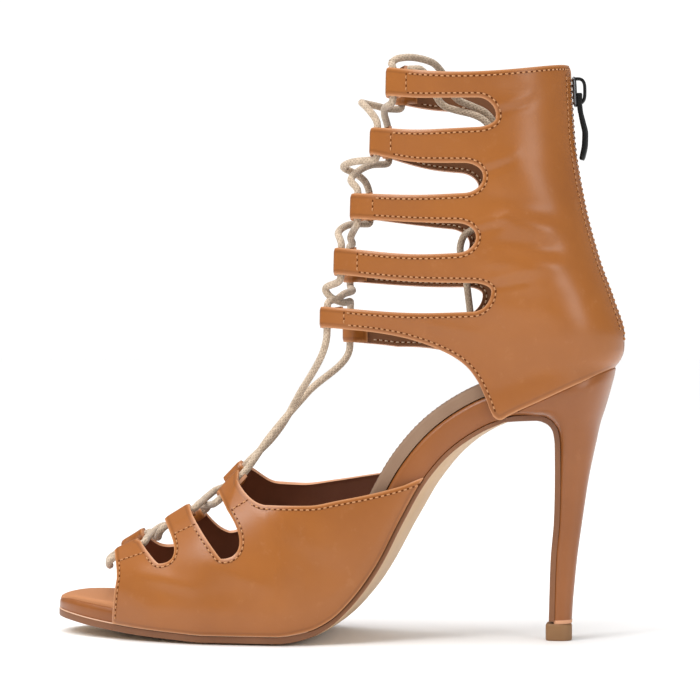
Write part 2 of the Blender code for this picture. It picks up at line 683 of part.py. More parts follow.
def zip_tape(parts):
    """Woven tape behind the opening at the back."""
    z = np.linspace(*TAPE_ENDS, 10)[:, None]
    y = np.linspace(-TAPE_HALF, TAPE_HALF, 5)[None, :]
    round_part = np.sqrt(1 - (np.abs(y) / ankle("half", z)) ** (2 / 0.9))
    x = ankle("back", z) - ankle("round", z) * (1 - round_part) - WALL - TAPE_IN
    grid = np.stack([x, y + 0 * z, z + 0 * y], axis=-1)
    sheet = Sheet()
    sheet.add(grid)
    return add_object("zip_tape", sheet.points, sheet.faces, "zip_tape_cloth", parts, TAPE_THICK, False)


def strip_rings(zs, inner, outer, half):
    """Rings of a strip that follows the back of the ankle."""
    rings = []
    for z, a, b, h in zip(zs, inner, outer, half):
        back = float(ankle("back", np.array(z)))
        rings.append([(back + a, -h, z), (back + b, -h, z), (back + b, h, z), (back + a, h, z)])
    return rings


def zip_teeth(parts):
    """Closed row of teeth in the opening."""
    zs = np.arange(*TEETH_ENDS, TEETH_PITCH / 2)
    half = np.where(np.arange(len(zs)) % 2 == 0, TEETH_HALF, TEETH_HALF - 0.5)
    inner = np.full_like(zs, -TEETH_IN)
    rings = strip_rings(zs, inner, inner + TEETH_THICK, half)
    return add_object("zip_teeth", *loft(rings), "zip_metal", parts)


def zip_slider(parts):
    """Slider plate at the top of the closed zip, with the arch that holds the pull."""
    zs = np.array([SLIDER_LOW, SLIDER_LOW + 1.2, ARCH_Z, SLIDER_HIGH - 1.5, SLIDER_HIGH])
    rings = strip_rings(zs, np.full(5, PLATE_IN), np.full(5, PLATE_OUT), (2.6, 3.4, 3.9, 3.7, 2.8))
    plate = add_object("zip_slider", *loft(rings), "zip_metal", parts)
    back = float(ankle("back", np.array(HINGE_Z)))
    arch = []
    for angle in np.linspace(-0.12, math.pi + 0.12, 9):
        out = np.array([math.sin(angle), -math.cos(angle)])
        outer = np.array([back + PLATE_OUT, ARCH_Z]) + ARCH_RADIUS * out
        inner = outer - ARCH_THICK * out
        arch.append([(inner[0], -1.0, inner[1]), (outer[0], -1.0, outer[1]),
                     (outer[0], 1.0, outer[1]), (inner[0], 1.0, inner[1])])
    bridge = add_object("slider_arch", *loft(arch), "zip_metal", parts)
    join(plate, bridge)
    return plate


def join(keep, other):
    """Join two bodies that overlap into one."""
    step = keep.modifiers.new("join", "BOOLEAN")
    step.operation = "UNION"
    step.object = other
    depsgraph = bpy.context.evaluated_depsgraph_get()
    joined = bpy.data.meshes.new_from_object(keep.evaluated_get(depsgraph))
    keep.modifiers.clear()
    keep.data = joined
    bpy.data.objects.remove(other)


def zip_pull(parts):
    """Pull: cross bar through the slider's arch, two arms and a curved tab."""
    back = float(ankle("back", np.array(HINGE_Z)))
    hinge = np.array([back + HINGE_OUT, 0.0, HINGE_Z])
    tab = []
    for z, x, half in ((PULL_TOP, 0.1, 1.9), (198.0, 0.2, 1.9), (192.0, 0.8, 2.0), (187.0, 1.6, 2.1),
                       (183.4, 1.5, 2.0), (182.0, 1.3, 1.2)):
        inner, outer = hinge[0] + x - PULL_THICK / 2, hinge[0] + x + PULL_THICK / 2
        tab.append([(inner, -half, z), (outer, -half, z), (outer, half, z), (inner, half, z)])
    pull = add_object("zip_pull", *loft(tab), "pull_metal", parts)
    for sign in (-1.0, 1.0):
        a, b = sorted((sign * 1.35, sign * 1.95))
        arm = [[(hinge[0] - 0.45 + x, a, z), (hinge[0] + 0.45 + x, a, z),
                (hinge[0] + 0.45 + x, b, z), (hinge[0] - 0.45 + x, b, z)]
               for z, x in ((PULL_TOP - 1.0, 0.1), (HINGE_Z + 0.45, 0.0))]
        join(pull, add_object("pull_arm", *loft(arm), "pull_metal", parts))
    angle = np.linspace(0, 2 * math.pi, 8, endpoint=False)
    bar = [np.stack([hinge[0] + BAR_RADIUS * np.cos(angle), np.full_like(angle, y),
                     hinge[2] + BAR_RADIUS * np.sin(angle)], axis=-1) for y in (-1.7, 1.7)]
    join(pull, add_object("pull_bar", *loft(bar), "pull_metal", parts))
    pivot = bpy.data.objects.new("zip_pull_pivot", None)
    parts.objects.link(pivot)
    pivot.location = hinge * MM
    pull.data.transform(Matrix.Translation(-Vector(hinge * MM)))
    pull.parent = pivot
    return pull


# ---- lace ----

# Each crossing, from one pair of loops to the next: places that the strand from the outer side passes,
# then those of the strand from the inner side
CROSSINGS = (
    (((-42.6, -6.0, 38.6), (-40.6, 7.0, 41.0)), ((-46.0, 7.0, 37.6), (-40.0, -6.0, 37.4))),
    (((-22.0, -6.0, 51.8), (-20.0, 6.0, 55.0)), ((-25.0, 6.0, 49.0), (-18.4, -7.0, 50.4))),
    (((4.6, -8.0, 76.5), (17.5, 3.0, 93.5)), ((3.0, 6.5, 75.8), (15.0, -4.0, 92.0))),
    (((31.2, -6.5, 129.8), (32.6, -1.4, 131.6), (34.4, 8.0, 133.0)),
     ((33.6, 7.0, 128.9), (32.6, -2.4, 128.2), (29.2, -9.8, 129.8), (26.4, -9.6, 133.2))),
    (((31.4, -8.5, 154.6), (33.6, 0.5, 158.0), (36.2, 8.4, 159.0)),
     ((34.6, 6.5, 151.2), (35.2, -2.0, 153.0), (38.0, -9.0, 156.4))),
    (((36.6, -11.0, 174.6), (38.0, -5.5, 177.8), (42.0, 4.0, 181.4)),
     ((39.6, 8.5, 174.8), (37.2, 1.5, 177.6), (32.8, -5.0, 180.0), (37.6, -10.5, 181.6))),
    (((44.0, -11.0, 200.8), (40.0, -6.0, 204.6), (45.0, 3.5, 204.0), (47.8, 9.8, 203.7)),
     ((47.6, 5.0, 199.8), (48.6, -4.0, 202.0))),
)
TOE_BAR = ((-62.6, 9.0, 28.0), (-59.4, -4.0, 26.2))
TOUCH = 1.9               # between the strands of a crossing where they touch, less than the cord is thick
TOUCH_REACH = 4.5         # along each strand, over which it is drawn to the other
STRAND_STEP = 2.4
FINE_COUNT = 240          # of the points on a route's curve, before it is cut into even steps
END_STEP = 7.3
MOUTH_GAP = (0.8, 0.5)    # clearance of a strand from the tab's loop and from the strap's
MOUTH_RUN = 1.1           # straight run of a strand outside a loop

# Routes of the two ends inside the ankle, from just above the top loops
END_ROUTES = {
    "lace_end_long": ((52.6, -13.6, 218.6), (54.8, -11.6, 220.4), (60.0, -6.0, 221.4), (66.0, 1.0, 220.4),
                      (70.2, 9.0, 215.8), (72.0, 14.8, 210.6), (74.5, 18.6, 207.6), (79.5, 21.4, 205.4),
                      (84.5, 22.8, 203.0), (88.0, 23.4, 198.6), (89.8, 23.8, 189.0), (88.8, 24.2, 176.0),
                      (84.6, 24.4, 163.5), (79.6, 24.2, 157.4), (76.0, 24.0, 154.6), (74.6, 24.2, 149.6),
                      (76.4, 24.6, 142.0), (77.4, 24.8, 134.0), (78.6, 25.0, 124.0)),
    "lace_end_short": ((53.4, 13.6, 218.2), (55.4, 12.8, 219.3), (59.4, 13.2, 219.4), (63.0, 15.6, 216.2),
                       (65.2, 18.0, 210.4), (68.6, 19.6, 205.6), (74.0, 20.6, 203.6), (79.5, 20.6, 202.2),
                       (84.5, 20.4, 199.6), (88.4, 20.0, 194.0), (90.2, 19.8, 186.0), (90.6, 19.6, 177.0)),
}


def through(route, spacing):
    """Points at even steps on a smooth curve through a route."""
    route = np.array(route, float)
    length = np.concatenate([[0.0], np.cumsum(np.linalg.norm(np.diff(route, axis=0), axis=1))])
    at = np.linspace(0, length[-1], FINE_COUNT)
    fine = np.stack([smooth(length, route[:, i], at) for i in range(3)], axis=-1)
    run = np.concatenate([[0.0], np.cumsum(np.linalg.norm(np.diff(fine, axis=0), axis=1))])
    at = np.linspace(0, run[-1], max(3, int(round(run[-1] / spacing)) + 1))
    return np.stack([np.interp(at, run, fine[:, i]) for i in range(3)], axis=-1)


def cord(name, points, parts, resolution=2):
    """Round cord as a curve with filled ends."""
    curve = bpy.data.curves.new(name, "CURVE")
    curve.dimensions = "3D"
    curve.bevel_depth = LACE / 2 * MM
    curve.bevel_resolution = resolution
    curve.use_fill_caps = True
    spline = curve.splines.new("POLY")
    spline.points.add(len(points) - 1)
    for knot, spot in zip(spline.points, points):
        knot.co = (*(spot * MM), 1.0)
    curve.materials.append(material("lace_cotton"))
    made = bpy.data.objects.new(name, curve)
    parts.objects.link(made)
    return made


def cord_body(name, points, parts):
    """Cord as a closed mesh, for joining."""
    curve = cord(name, points, parts, 1)
    mesh = bpy.data.meshes.new_from_object(curve.evaluated_get(bpy.context.evaluated_depsgraph_get()))
    bm = bmesh.new()
    bm.from_mesh(mesh)
    bmesh.ops.remove_doubles(bm, verts=bm.verts, dist=0.00002)
    bmesh.ops.recalc_face_normals(bm, faces=bm.faces)
    bm.to_mesh(mesh)
    bm.free()
    body = bpy.data.objects.new(name, mesh)
    body.matrix_world = curve.matrix_world
    bpy.data.objects.remove(curve)
    parts.objects.link(body)
    body.name = name
    return body


def leaving(loops, key, end):
    """Two places on a loop's axis: where a strand's solid starts outside it, and a little further out."""
    gap = MOUTH_GAP[0] if key[1] < len(TAB_SAG) else MOUTH_GAP[1]
    way = unit(loops[key][end] - loops[key][1 - end])
    return loops[key][end] + way * gap, loops[key][end] + way * (gap + MOUTH_RUN)


def strand(loops, low, route, high):
    """Middle line of a strand from the upper mouth of one loop to the lower mouth of the next."""
    start, out = leaving(loops, low, 1)
    end, back = leaving(loops, high, 0)
    return through((start, out, *route, back, end), STRAND_STEP)


def draw_together(first, second):
    """Bend two strands to each other where they pass closest, so that they touch there."""
    apart = np.linalg.norm(first[:, None] - second[None], axis=-1)
    i, j = np.unravel_index(np.argmin(apart), apart.shape)
    pull = (second[j] - first[i]) * (1 - TOUCH / apart[i, j]) / 2
    for line, at, way in ((first, i, 1.0), (second, j, -1.0)):
        run = STRAND_STEP * (np.arange(len(line)) - at)
        line += way * np.exp(-(run / TOUCH_REACH) ** 2)[:, None] * pull


def crossing(i, loops, parts):
    """Two strands that cross between one pair of loops and the next, joined where they touch."""
    first = strand(loops, ("lateral", i), CROSSINGS[i][0], ("medial", i + 1))
    second = strand(loops, ("medial", i), CROSSINGS[i][1], ("lateral", i + 1))
    draw_together(first, second)
    bodies = [cord_body("lace_cross_%d" % (i + 1), line, parts) for line in (first, second)]
    join(bodies[0], bodies[1])
    bodies[0].name = "lace_cross_%d" % (i + 1)


def lace(parts, loops):
    """Crossings between the loops, the bar at the toe and the two free ends."""
    for i in range(len(CROSSINGS)):
        crossing(i, loops, parts)
    start, out = leaving(loops, ("medial", 0), 0)
    end, back = leaving(loops, ("lateral", 0), 0)
    cord("lace_toe_bar", through((start, out, *TOE_BAR, back, end), STRAND_STEP), parts)
    for name, route in END_ROUTES.items():
        cord(name, through(route, END_STEP), parts)


def main():
    for old in list(bpy.data.objects):
        bpy.data.objects.remove(old, do_unlink=True)
    parts = collection("latin_dance_shoe")
    loops = {}
    outsole(parts)
    midsole(parts)
    insole(parts)
    heel(parts)
    top_lift(parts)
    vamp("lateral", parts, loops)
    vamp("medial", parts, loops)
    quarter(parts, loops)
    zip_tape(parts)
    zip_teeth(parts)
    zip_slider(parts)
    zip_pull(parts)
    lace(parts, loops)


main()
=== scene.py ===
import math

import bmesh
import bpy
import numpy as np
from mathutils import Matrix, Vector


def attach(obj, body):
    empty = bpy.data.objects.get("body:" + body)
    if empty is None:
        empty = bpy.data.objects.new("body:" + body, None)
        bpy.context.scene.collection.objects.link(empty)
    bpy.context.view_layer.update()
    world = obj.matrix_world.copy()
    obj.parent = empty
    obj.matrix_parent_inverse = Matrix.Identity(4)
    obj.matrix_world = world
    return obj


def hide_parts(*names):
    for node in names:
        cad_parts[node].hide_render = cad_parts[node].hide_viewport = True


# Left latin dance shoe, toe towards -X, outer side towards -Y, floor at z = 0.
# Tables are in millimetres, meshes in metres.
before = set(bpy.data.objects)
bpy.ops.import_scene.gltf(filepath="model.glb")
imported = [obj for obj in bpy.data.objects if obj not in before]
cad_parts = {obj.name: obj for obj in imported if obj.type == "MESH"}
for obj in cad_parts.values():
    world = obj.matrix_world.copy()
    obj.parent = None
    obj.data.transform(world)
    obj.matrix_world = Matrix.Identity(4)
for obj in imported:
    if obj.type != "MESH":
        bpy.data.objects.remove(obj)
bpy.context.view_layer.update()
mm = 0.001
print("frame loaded")

camera = {"lens": 120.2, "distance": 0.9, "turn": 9.0, "aimX": 0.03465, "height": 0.110}
turn = math.radians(camera["turn"])
lensData = bpy.data.cameras.new("camera")
lensData.lens = camera["lens"]
lensData.sensor_width = 36.0
lensData.clip_start = 0.01
lensData.clip_end = 60.0
view = bpy.data.objects.new("camera", lensData)
view.location = (camera["aimX"] + camera["distance"] * math.sin(turn),
                 -camera["distance"] * math.cos(turn), camera["height"])
view.rotation_euler = (math.pi / 2, 0.0, turn)
bpy.context.scene.collection.objects.link(view)
bpy.context.scene.camera = view


def table(columns, *rows):
    # one array for each named column
    return {name: np.array([row[i] for row in rows], float) for i, name in enumerate(columns)}


def smooth(xs, ys, at):
    # cubic through the points whose slopes are harmonic means, so it never overshoots
    xs, ys = np.asarray(xs, float), np.asarray(ys, float)
    step = np.diff(xs)
    rise = np.diff(ys) / step
    slope = np.zeros(len(xs))
    same = rise[1:] * rise[:-1] > 0
    left, right = rise[:-1][same], rise[1:][same]
    a, b = step[:-1][same], step[1:][same]
    slope[1:-1][same] = 3 * (a + b) / ((2 * b + a) / left + (b + 2 * a) / right)
    slope[0], slope[-1] = rise[0], rise[-1]
    at = np.clip(at, xs[0], xs[-1])
    i = np.clip(np.searchsorted(xs, at, side="right") - 1, 0, len(step) - 1)
    t = (at - xs[i]) / step[i]
    h = step[i]
    return (ys[i] * (1 + 2 * t) * (1 - t) ** 2 + h * slope[i] * t * (1 - t) ** 2
            + ys[i + 1] * t * t * (3 - 2 * t) + h * slope[i + 1] * t * t * (t - 1))


def cubic(points, t):
    # four control points weighted by the cubic Bernstein terms
    p = np.array(points, float)
    t = np.asarray(t)[..., None]
    return (1 - t) ** 3 * p[0] + 3 * t * (1 - t) ** 2 * p[1] + 3 * t * t * (1 - t) * p[2] + t ** 3 * p[3]


def unit(v):
    # each vector divided by its own length
    return v / np.maximum(np.linalg.norm(v, axis=-1, keepdims=True), 1e-12)


def join(*parts):
    # numbers and arrays spread to one shape and set side by side along a new last axis
    return np.stack(np.broadcast_arrays(*parts), axis=-1)


def circle(count):
    # angles of places set evenly round a full turn
    return np.linspace(0, 2 * math.pi, count, endpoint=False)


def signedPower(value, power):
    # a superellipse's coordinate: sine or cosine raised to a power, its sign kept
    return np.sign(value) * np.abs(value) ** power


def runLength(points):
    # distance travelled along a line of points
    return np.concatenate([[0.0], np.cumsum(np.linalg.norm(np.diff(points, axis=0), axis=1))])


def readAt(at, run, rows):
    # every column of the rows, in proportion between the distances on either side
    return np.stack([np.interp(at, run, rows[:, i]) for i in range(rows.shape[1])], axis=-1)


def resample(points, spacing):
    # the same line with its points at even distances
    run = runLength(points)
    at = np.linspace(0, run[-1], max(3, int(round(run[-1] / spacing)) + 1))
    return readAt(at, run, points)


def through(route, spacing):
    # the route's coordinates as smooth curves of the straight distance along it, cut into even steps
    route = np.array(route, float)
    run = runLength(route)
    fine = np.linspace(0, run[-1], 12 * int(run[-1] / spacing + 20))
    return resample(np.stack([smooth(run, route[:, i], fine) for i in range(3)], axis=-1), spacing)


def relax(points, spacing, reach):
    # moving average of a line under a bell curve, with both ends held
    count = max(1, int(3 * reach / spacing))
    weight = np.exp(-0.5 * (np.arange(-count, count + 1) * spacing / reach) ** 2)
    weight /= weight.sum()
    before, after = 2 * points[0] - points[count:0:-1], 2 * points[-1] - points[-2:-count - 2:-1]
    padded = np.vstack([before, points, after])
    return np.stack([np.convolve(padded[:, i], weight, "valid") for i in range(3)], axis=-1)


def gridFaces(rows, columns, start=0, flip=False, closed=False):
    # the four corners of each cell; a closed grid joins its last column to its first
    i = np.arange(rows - 1)[:, None]
    j = np.arange(columns if closed else columns - 1)[None, :]
    k = (j + 1) % columns
    a, b = start + i * columns + j, start + i * columns + k
    faces = join(a, b, b + columns, a + columns).reshape(-1, 4)
    return faces[:, ::-1] if flip else faces


def gridNormals(grid):
    # cross product of the steps along rows and along columns
    return unit(np.cross(np.gradient(grid, axis=1), np.gradient(grid, axis=0)))


def copies(frames, rings):
    # a small closed shape of stacked rings with flat ends, set out on many frames of three axes at once
    levels, around = rings.shape[:2]
    origin, x, y, z = frames
    shape = rings.reshape(-1, 3)
    points = (origin[:, None] + shape[None, :, 0:1] * x[:, None] + shape[None, :, 1:2] * y[:, None]
              + shape[None, :, 2:3] * z[:, None])
    start = (np.arange(len(origin)) * len(shape))[:, None, None]
    sides = (gridFaces(levels, around, closed=True)[None] + start).reshape(-1, 4)
    ends = np.stack([np.arange(around)[::-1], np.arange((levels - 1) * around, levels * around)])
    ends = (ends[None] + start).reshape(-1, around)
    return points, sides.tolist() + ends.tolist()


def shade(mesh, sharp):
    # smooth, with a crease where faces meet at more than an angle in degrees
    mesh.shade_smooth()
    mesh.set_sharp_from_angle(angle=math.radians(sharp))


def meshFrom(name, points, faces, finishes, faceFinish=None, merge=0.0, outward=False, sharp=40.0, uv=None):
    # points in millimetres and faces of any size become a shaded mesh object at the origin
    mesh = bpy.data.meshes.new(name)
    mesh.from_pydata((np.asarray(points, float).reshape(-1, 3) * mm).tolist(), [],
                     [tuple(f) for f in (faces.tolist() if hasattr(faces, "tolist") else faces)])
    for finish in finishes:
        mesh.materials.append(finish)
    if faceFinish is not None:
        mesh.polygons.foreach_set("material_index", np.asarray(faceFinish, np.int32))
    if uv is not None:
        layer = mesh.uv_layers.new(name="UVMap")
        layer.data.foreach_set("uv", np.asarray(uv, np.float32).ravel())
    if merge or outward:
        bm = bmesh.new()
        bm.from_mesh(mesh)
        if merge:
            bmesh.ops.remove_doubles(bm, verts=bm.verts, dist=merge * mm)
        if outward:
            bmesh.ops.recalc_face_normals(bm, faces=bm.faces)
        bm.to_mesh(mesh)
        bm.free()
    made = bpy.data.objects.new(name, mesh)
    bpy.context.scene.collection.objects.link(made)
    shade(mesh, sharp)
    return made


def loft(rings, start=0):
    # rings of equal size joined one to the next, with a flat cap at both ends
    count, size = rings.shape[:2]
    faces = gridFaces(count, size, start, closed=True).tolist()
    faces.append(list(range(start, start + size))[::-1])
    faces.append(list(range(start + (count - 1) * size, start + count * size)))
    return rings.reshape(-1, 3), faces


def readVertices(mesh, name):
    # three numbers for each vertex: its place in metres for "co", its outward direction for "normal"
    values = np.empty(len(mesh.vertices) * 3)
    mesh.vertices.foreach_get(name, values)
    return values.reshape(-1, 3)


def settle(piece, sharp):
    # modifiers become the mesh itself
    evaluated = piece.evaluated_get(bpy.context.evaluated_depsgraph_get())
    mesh = bpy.data.meshes.new_from_object(evaluated)
    piece.modifiers.clear()
    piece.data = mesh
    shade(mesh, sharp)


def place(piece, slotName, *nodes, body="shoe"):
    # hides the CAD nodes that the piece stands for and puts it on the body that carries it; the material
    # slot's name is not used
    if nodes:
        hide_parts(*nodes)
    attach(piece, body)
    return piece


def lofted(name, rings, finish, slotName, *nodes, sharp=60):
    # rings closed into one solid piece of one finish, on the shoe itself
    piece = meshFrom(name, *loft(rings), (finishes[finish],), outward=True, sharp=sharp)
    return place(piece, slotName, *nodes)


def addNode(tree, kind, inputs=None, **settings):
    # a node with its settings; an input is a value, or the output socket that feeds it
    node = tree.nodes.new("ShaderNode" + kind)
    for name, value in settings.items():
        setattr(node, name, value)
    for key, value in (inputs or {}).items():
        if isinstance(value, bpy.types.NodeSocket):
            tree.links.new(value, node.inputs[key])
        else:
            node.inputs[key].default_value = value
    return node


def maths(tree, operation, a, b=0.0):
    # one operation on two values or sockets
    return addNode(tree, "Math", {0: a, 1: b}, operation=operation).outputs[0]


def mapRange(tree, value, fromLow, fromHigh, toLow, toHigh, **settings):
    # a value carried in proportion from one span to another and held at its ends
    return addNode(tree, "MapRange", {"Value": value, "From Min": fromLow, "From Max": fromHigh,
                                      "To Min": toLow, "To Max": toHigh}, **settings).outputs[0]


def mixColour(tree, amount, *colours):
    # the first colour at 0, the second at 1; each is red, green and blue, or an output socket
    first, second = ((*colour, 1.0) if isinstance(colour, tuple) else colour for colour in colours)
    return addNode(tree, "Mix", {0: amount, 6: first, 7: second}, data_type="RGBA").outputs[2]


def feed(tree, node, **sockets):
    # output sockets linked to the named inputs of a node
    for name, socket in sockets.items():
        tree.links.new(socket, node.inputs[name])


def newGroup(name, inputs, outputs):
    # a shader node group with named sockets
    group = bpy.data.node_groups.new(name, "ShaderNodeTree")
    for label, value in inputs:
        socket = group.interface.new_socket(name=label, in_out="INPUT", socket_type="NodeSocketFloat")
        socket.default_value = value
    for label in outputs:
        group.interface.new_socket(name=label, in_out="OUTPUT", socket_type="NodeSocketFloat")
    return group, group.nodes.new("NodeGroupInput"), group.nodes.new("NodeGroupOutput")


def leatherGrainGroup():
    # fine pebble of two cell sizes, soft cloudy tone, and faint scuffs that follow no direction
    group, given, made = newGroup("leatherGrain", (("Pebble", 1400.0), ("Cloud", 26.0)),
                                  ("Height", "Tone", "Scuff"))
    spot = addNode(group, "TexCoord").outputs["Object"]
    pebble = given.outputs["Pebble"]
    cells = addNode(group, "TexVoronoi", {"Vector": spot, "Scale": pebble},
                    feature="SMOOTH_F1").outputs["Distance"]
    fine = addNode(group, "TexNoise", {"Vector": spot, "Scale": maths(group, "MULTIPLY", pebble, 0.55),
                                       "Detail": 3.0}).outputs["Fac"]
    height = maths(group, "ADD", maths(group, "MULTIPLY", cells, 0.6), maths(group, "MULTIPLY", fine, 0.6))
    cloud = addNode(group, "TexNoise", {"Vector": spot, "Scale": given.outputs["Cloud"], "Detail": 4.0,
                                        "Roughness": 0.6}).outputs["Fac"]
    rub = addNode(group, "TexNoise", {"Vector": spot, "Scale": 190.0, "Detail": 6.0,
                                      "Roughness": 0.75}).outputs["Fac"]
    feed(group, made, Height=height, Tone=mapRange(group, cloud, 0.3, 0.7, 0.0, 1.0),
         Scuff=mapRange(group, rub, 0.58, 0.72, 0.0, 1.0))
    return group


def edgeGroup():
    # masks from the distance to the nearest cut edge: the rubbed rim, which also carries a painted highlight
    # along the rolled edge, and painted shade along the line pressed in by the thread
    group, given, made = newGroup("cutEdge", (("Rim", 0.9), ("Line", 1.6), ("Width", 0.7)), ("Rub", "Press"))
    away = addNode(group, "Attribute", attribute_name="edge").outputs["Fac"]
    # lighter near the cut edge: partly rubbed wear, partly painted highlight of the rolled edge
    rub = mapRange(group, away, 0.0, given.outputs["Rim"], 1.0, 0.0)
    off = maths(group, "ABSOLUTE", maths(group, "SUBTRACT", away, given.outputs["Line"]))
    # painted shade: a darker line where the thread presses a groove that the mesh does not have
    pressShade = mapRange(group, off, 0.0, given.outputs["Width"], 1.0, 0.0, interpolation_type="SMOOTHSTEP")
    feed(group, made, Rub=rub, Press=pressShade)
    return group


def plaitGroup():
    # two sets of strands that run round the cord both ways, over and under, from the piece's own UV map
    group, given, made = newGroup("plait", (("Around", 5.0), ("Pitch", 1.0)), ("Height", "Fleck", "Groove"))
    uv = addNode(group, "SeparateXYZ", {0: addNode(group, "UVMap").outputs[0]})
    around = maths(group, "MULTIPLY", uv.outputs[0], given.outputs["Around"])
    along = maths(group, "MULTIPLY", uv.outputs[1], given.outputs["Pitch"])
    first = maths(group, "ADD", around, along)
    second = maths(group, "SUBTRACT", around, along)
    a = maths(group, "ABSOLUTE", maths(group, "SINE", maths(group, "MULTIPLY", first, math.pi)))
    b = maths(group, "ABSOLUTE", maths(group, "SINE", maths(group, "MULTIPLY", second, math.pi)))
    height = maths(group, "MAXIMUM", a, b)
    cell = addNode(group, "CombineXYZ", {0: maths(group, "FLOOR", first),
                                         1: maths(group, "FLOOR", second)}).outputs[0]
    fleck = addNode(group, "TexWhiteNoise", {"Vector": cell}).outputs["Value"]
    feed(group, made, Height=height, Fleck=fleck, Groove=mapRange(group, height, 0.55, 0.9, 1.0, 0.0))
    return group


def weaveGroup():
    # over and under of warp and weft from two waves at right angles, on Object coordinates
    group, given, made = newGroup("weave", (("Threads", 1800.0),), ("Height", "Fleck"))
    spot = addNode(group, "TexCoord").outputs["Object"]
    parts = addNode(group, "SeparateXYZ", {0: spot}).outputs
    waves = [maths(group, "SINE", maths(group, "MULTIPLY", parts[axis], given.outputs["Threads"]))
             for axis in (1, 2)]
    fuzz = addNode(group, "TexNoise", {"Vector": spot, "Scale": 900.0, "Detail": 3.0}).outputs["Fac"]
    feed(group, made, Height=maths(group, "MULTIPLY", *waves), Fleck=fuzz)
    return group


groups = {"grain": leatherGrainGroup(), "edge": edgeGroup(), "plait": plaitGroup(), "weave": weaveGroup()}


def newFinish(name, roughness, metallic=0.0, **fixed):
    # an empty material with its Principled shader; fixed values go straight on its sockets
    made = bpy.data.materials.new(name)
    made.use_nodes = True
    tree = made.node_tree
    shader = tree.nodes["Principled BSDF"]
    shader.inputs["Roughness"].default_value = roughness
    shader.inputs["Metallic"].default_value = metallic
    for key, value in fixed.items():
        shader.inputs[key].default_value = value
    return made, tree, shader


def useGroup(tree, key, **values):
    # a shared effect placed in a material with its own values
    node = tree.nodes.new("ShaderNodeGroup")
    node.node_tree = groups[key]
    for name, value in values.items():
        node.inputs[name].default_value = value
    return node.outputs


def bump(tree, shader, height, distance, strength=1.0):
    # a height that tilts the shading; distance is its depth in metres
    made = addNode(tree, "Bump", {"Height": height, "Distance": distance, "Strength": strength})
    tree.links.new(made.outputs[0], shader.inputs["Normal"])


# the rim amount lightens cut edges, partly as painted highlight; the press amounts paint shade along the
# stitch line
wearAndPaintedLight = {"scuff": 0.10, "rim": 0.65, "pressShade": 0.32, "pressShadeTone": 0.45, "cloudGloss": -0.06, "dull": 0.03}


def leather(name, light, dark, wornAndHighlight, roughness, pebble=1400.0, edges=False, **fixed):
    # smooth finished leather: cloudy tone between two colours, rubbed rims lightened partly as painted
    # highlight, painted shade along the stitch line, pebble grain
    made, tree, shader = newFinish(name, roughness, **{"Specular IOR Level": 0.5, **fixed})
    grain = useGroup(tree, "grain", Pebble=pebble)
    colour = mixColour(tree, grain["Tone"], dark, light)
    scuff = maths(tree, "MULTIPLY", grain["Scuff"], wearAndPaintedLight["scuff"])
    colour = mixColour(tree, scuff, colour, wornAndHighlight)
    if edges:
        rim = useGroup(tree, "edge")
        # lighter band at the cut edge: partly rubbed wear, partly painted highlight where the rolled edge
        # catches light
        colour = mixColour(tree, maths(tree, "MULTIPLY", rim["Rub"], wearAndPaintedLight["rim"]), colour, wornAndHighlight)
        # painted shade along the stitch row, standing for a groove that the mesh does not have
        colour = mixColour(tree, maths(tree, "MULTIPLY", rim["Press"], wearAndPaintedLight["pressShade"]), colour,
                           tuple(wearAndPaintedLight["pressShadeTone"] * part for part in dark))
    tree.links.new(colour, shader.inputs["Base Color"])
    gloss = maths(tree, "MULTIPLY", grain["Tone"], wearAndPaintedLight["cloudGloss"])
    dull = maths(tree, "ADD", scuff, roughness + wearAndPaintedLight["dull"])
    feed(tree, shader, Roughness=maths(tree, "ADD", gloss, dull))
    bump(tree, shader, grain["Height"], 0.00003, 0.6)
    return made


def sockLeather(name, light, dark, toe):
    # taupe sock leather that turns into tan over the toes, by the place along the shoe; the tan is lightened
    # as a painted highlight on the toe top
    made, tree, shader = newFinish(name, 0.66, **{"Specular IOR Level": 0.35})
    grain = useGroup(tree, "grain", Pebble=1800.0)
    colour = mixColour(tree, grain["Tone"], dark, light)
    along = addNode(tree, "SeparateXYZ", {0: addNode(tree, "TexCoord").outputs["Object"]}).outputs[0]
    # painted highlight: the toe colour is lighter than the wrap's tan
    colour = mixColour(tree, mapRange(tree, along, -0.048, -0.040, 1.0, 0.0), colour, toe)
    tree.links.new(colour, shader.inputs["Base Color"])
    bump(tree, shader, grain["Height"], 0.00003, 0.6)
    return made


def cloth(name, light, dark, threads, depth, roughness=0.9):
    # woven or twisted threads with a soft sheen, flecked between two colours
    made, tree, shader = newFinish(name, roughness, **{"Sheen Weight": 0.25, "Specular IOR Level": 0.25})
    weave = useGroup(tree, "weave", Threads=threads)
    tree.links.new(mixColour(tree, weave["Fleck"], dark, light), shader.inputs["Base Color"])
    bump(tree, shader, weave["Height"], depth, 0.8)
    return made


def plaitedCotton(name, light, dark, grooveShade):
    # matt cotton strands, a tone of their own for each, with painted shade in the grooves between them
    made, tree, shader = newFinish(name, 0.88, **{"Sheen Weight": 0.3, "Specular IOR Level": 0.2})
    plait = useGroup(tree, "plait", Around=6.0, Pitch=0.62)
    fleck = mapRange(tree, plait["Fleck"], 0.25, 0.85, 0.0, 1.0)
    colour = mixColour(tree, fleck, light, dark)
    # painted shade in the grooves between the strands
    colour = mixColour(tree, maths(tree, "MULTIPLY", plait["Groove"], 0.5), colour, grooveShade)
    tree.links.new(colour, shader.inputs["Base Color"])
    bump(tree, shader, plait["Height"], 0.00022, 0.9)
    return made


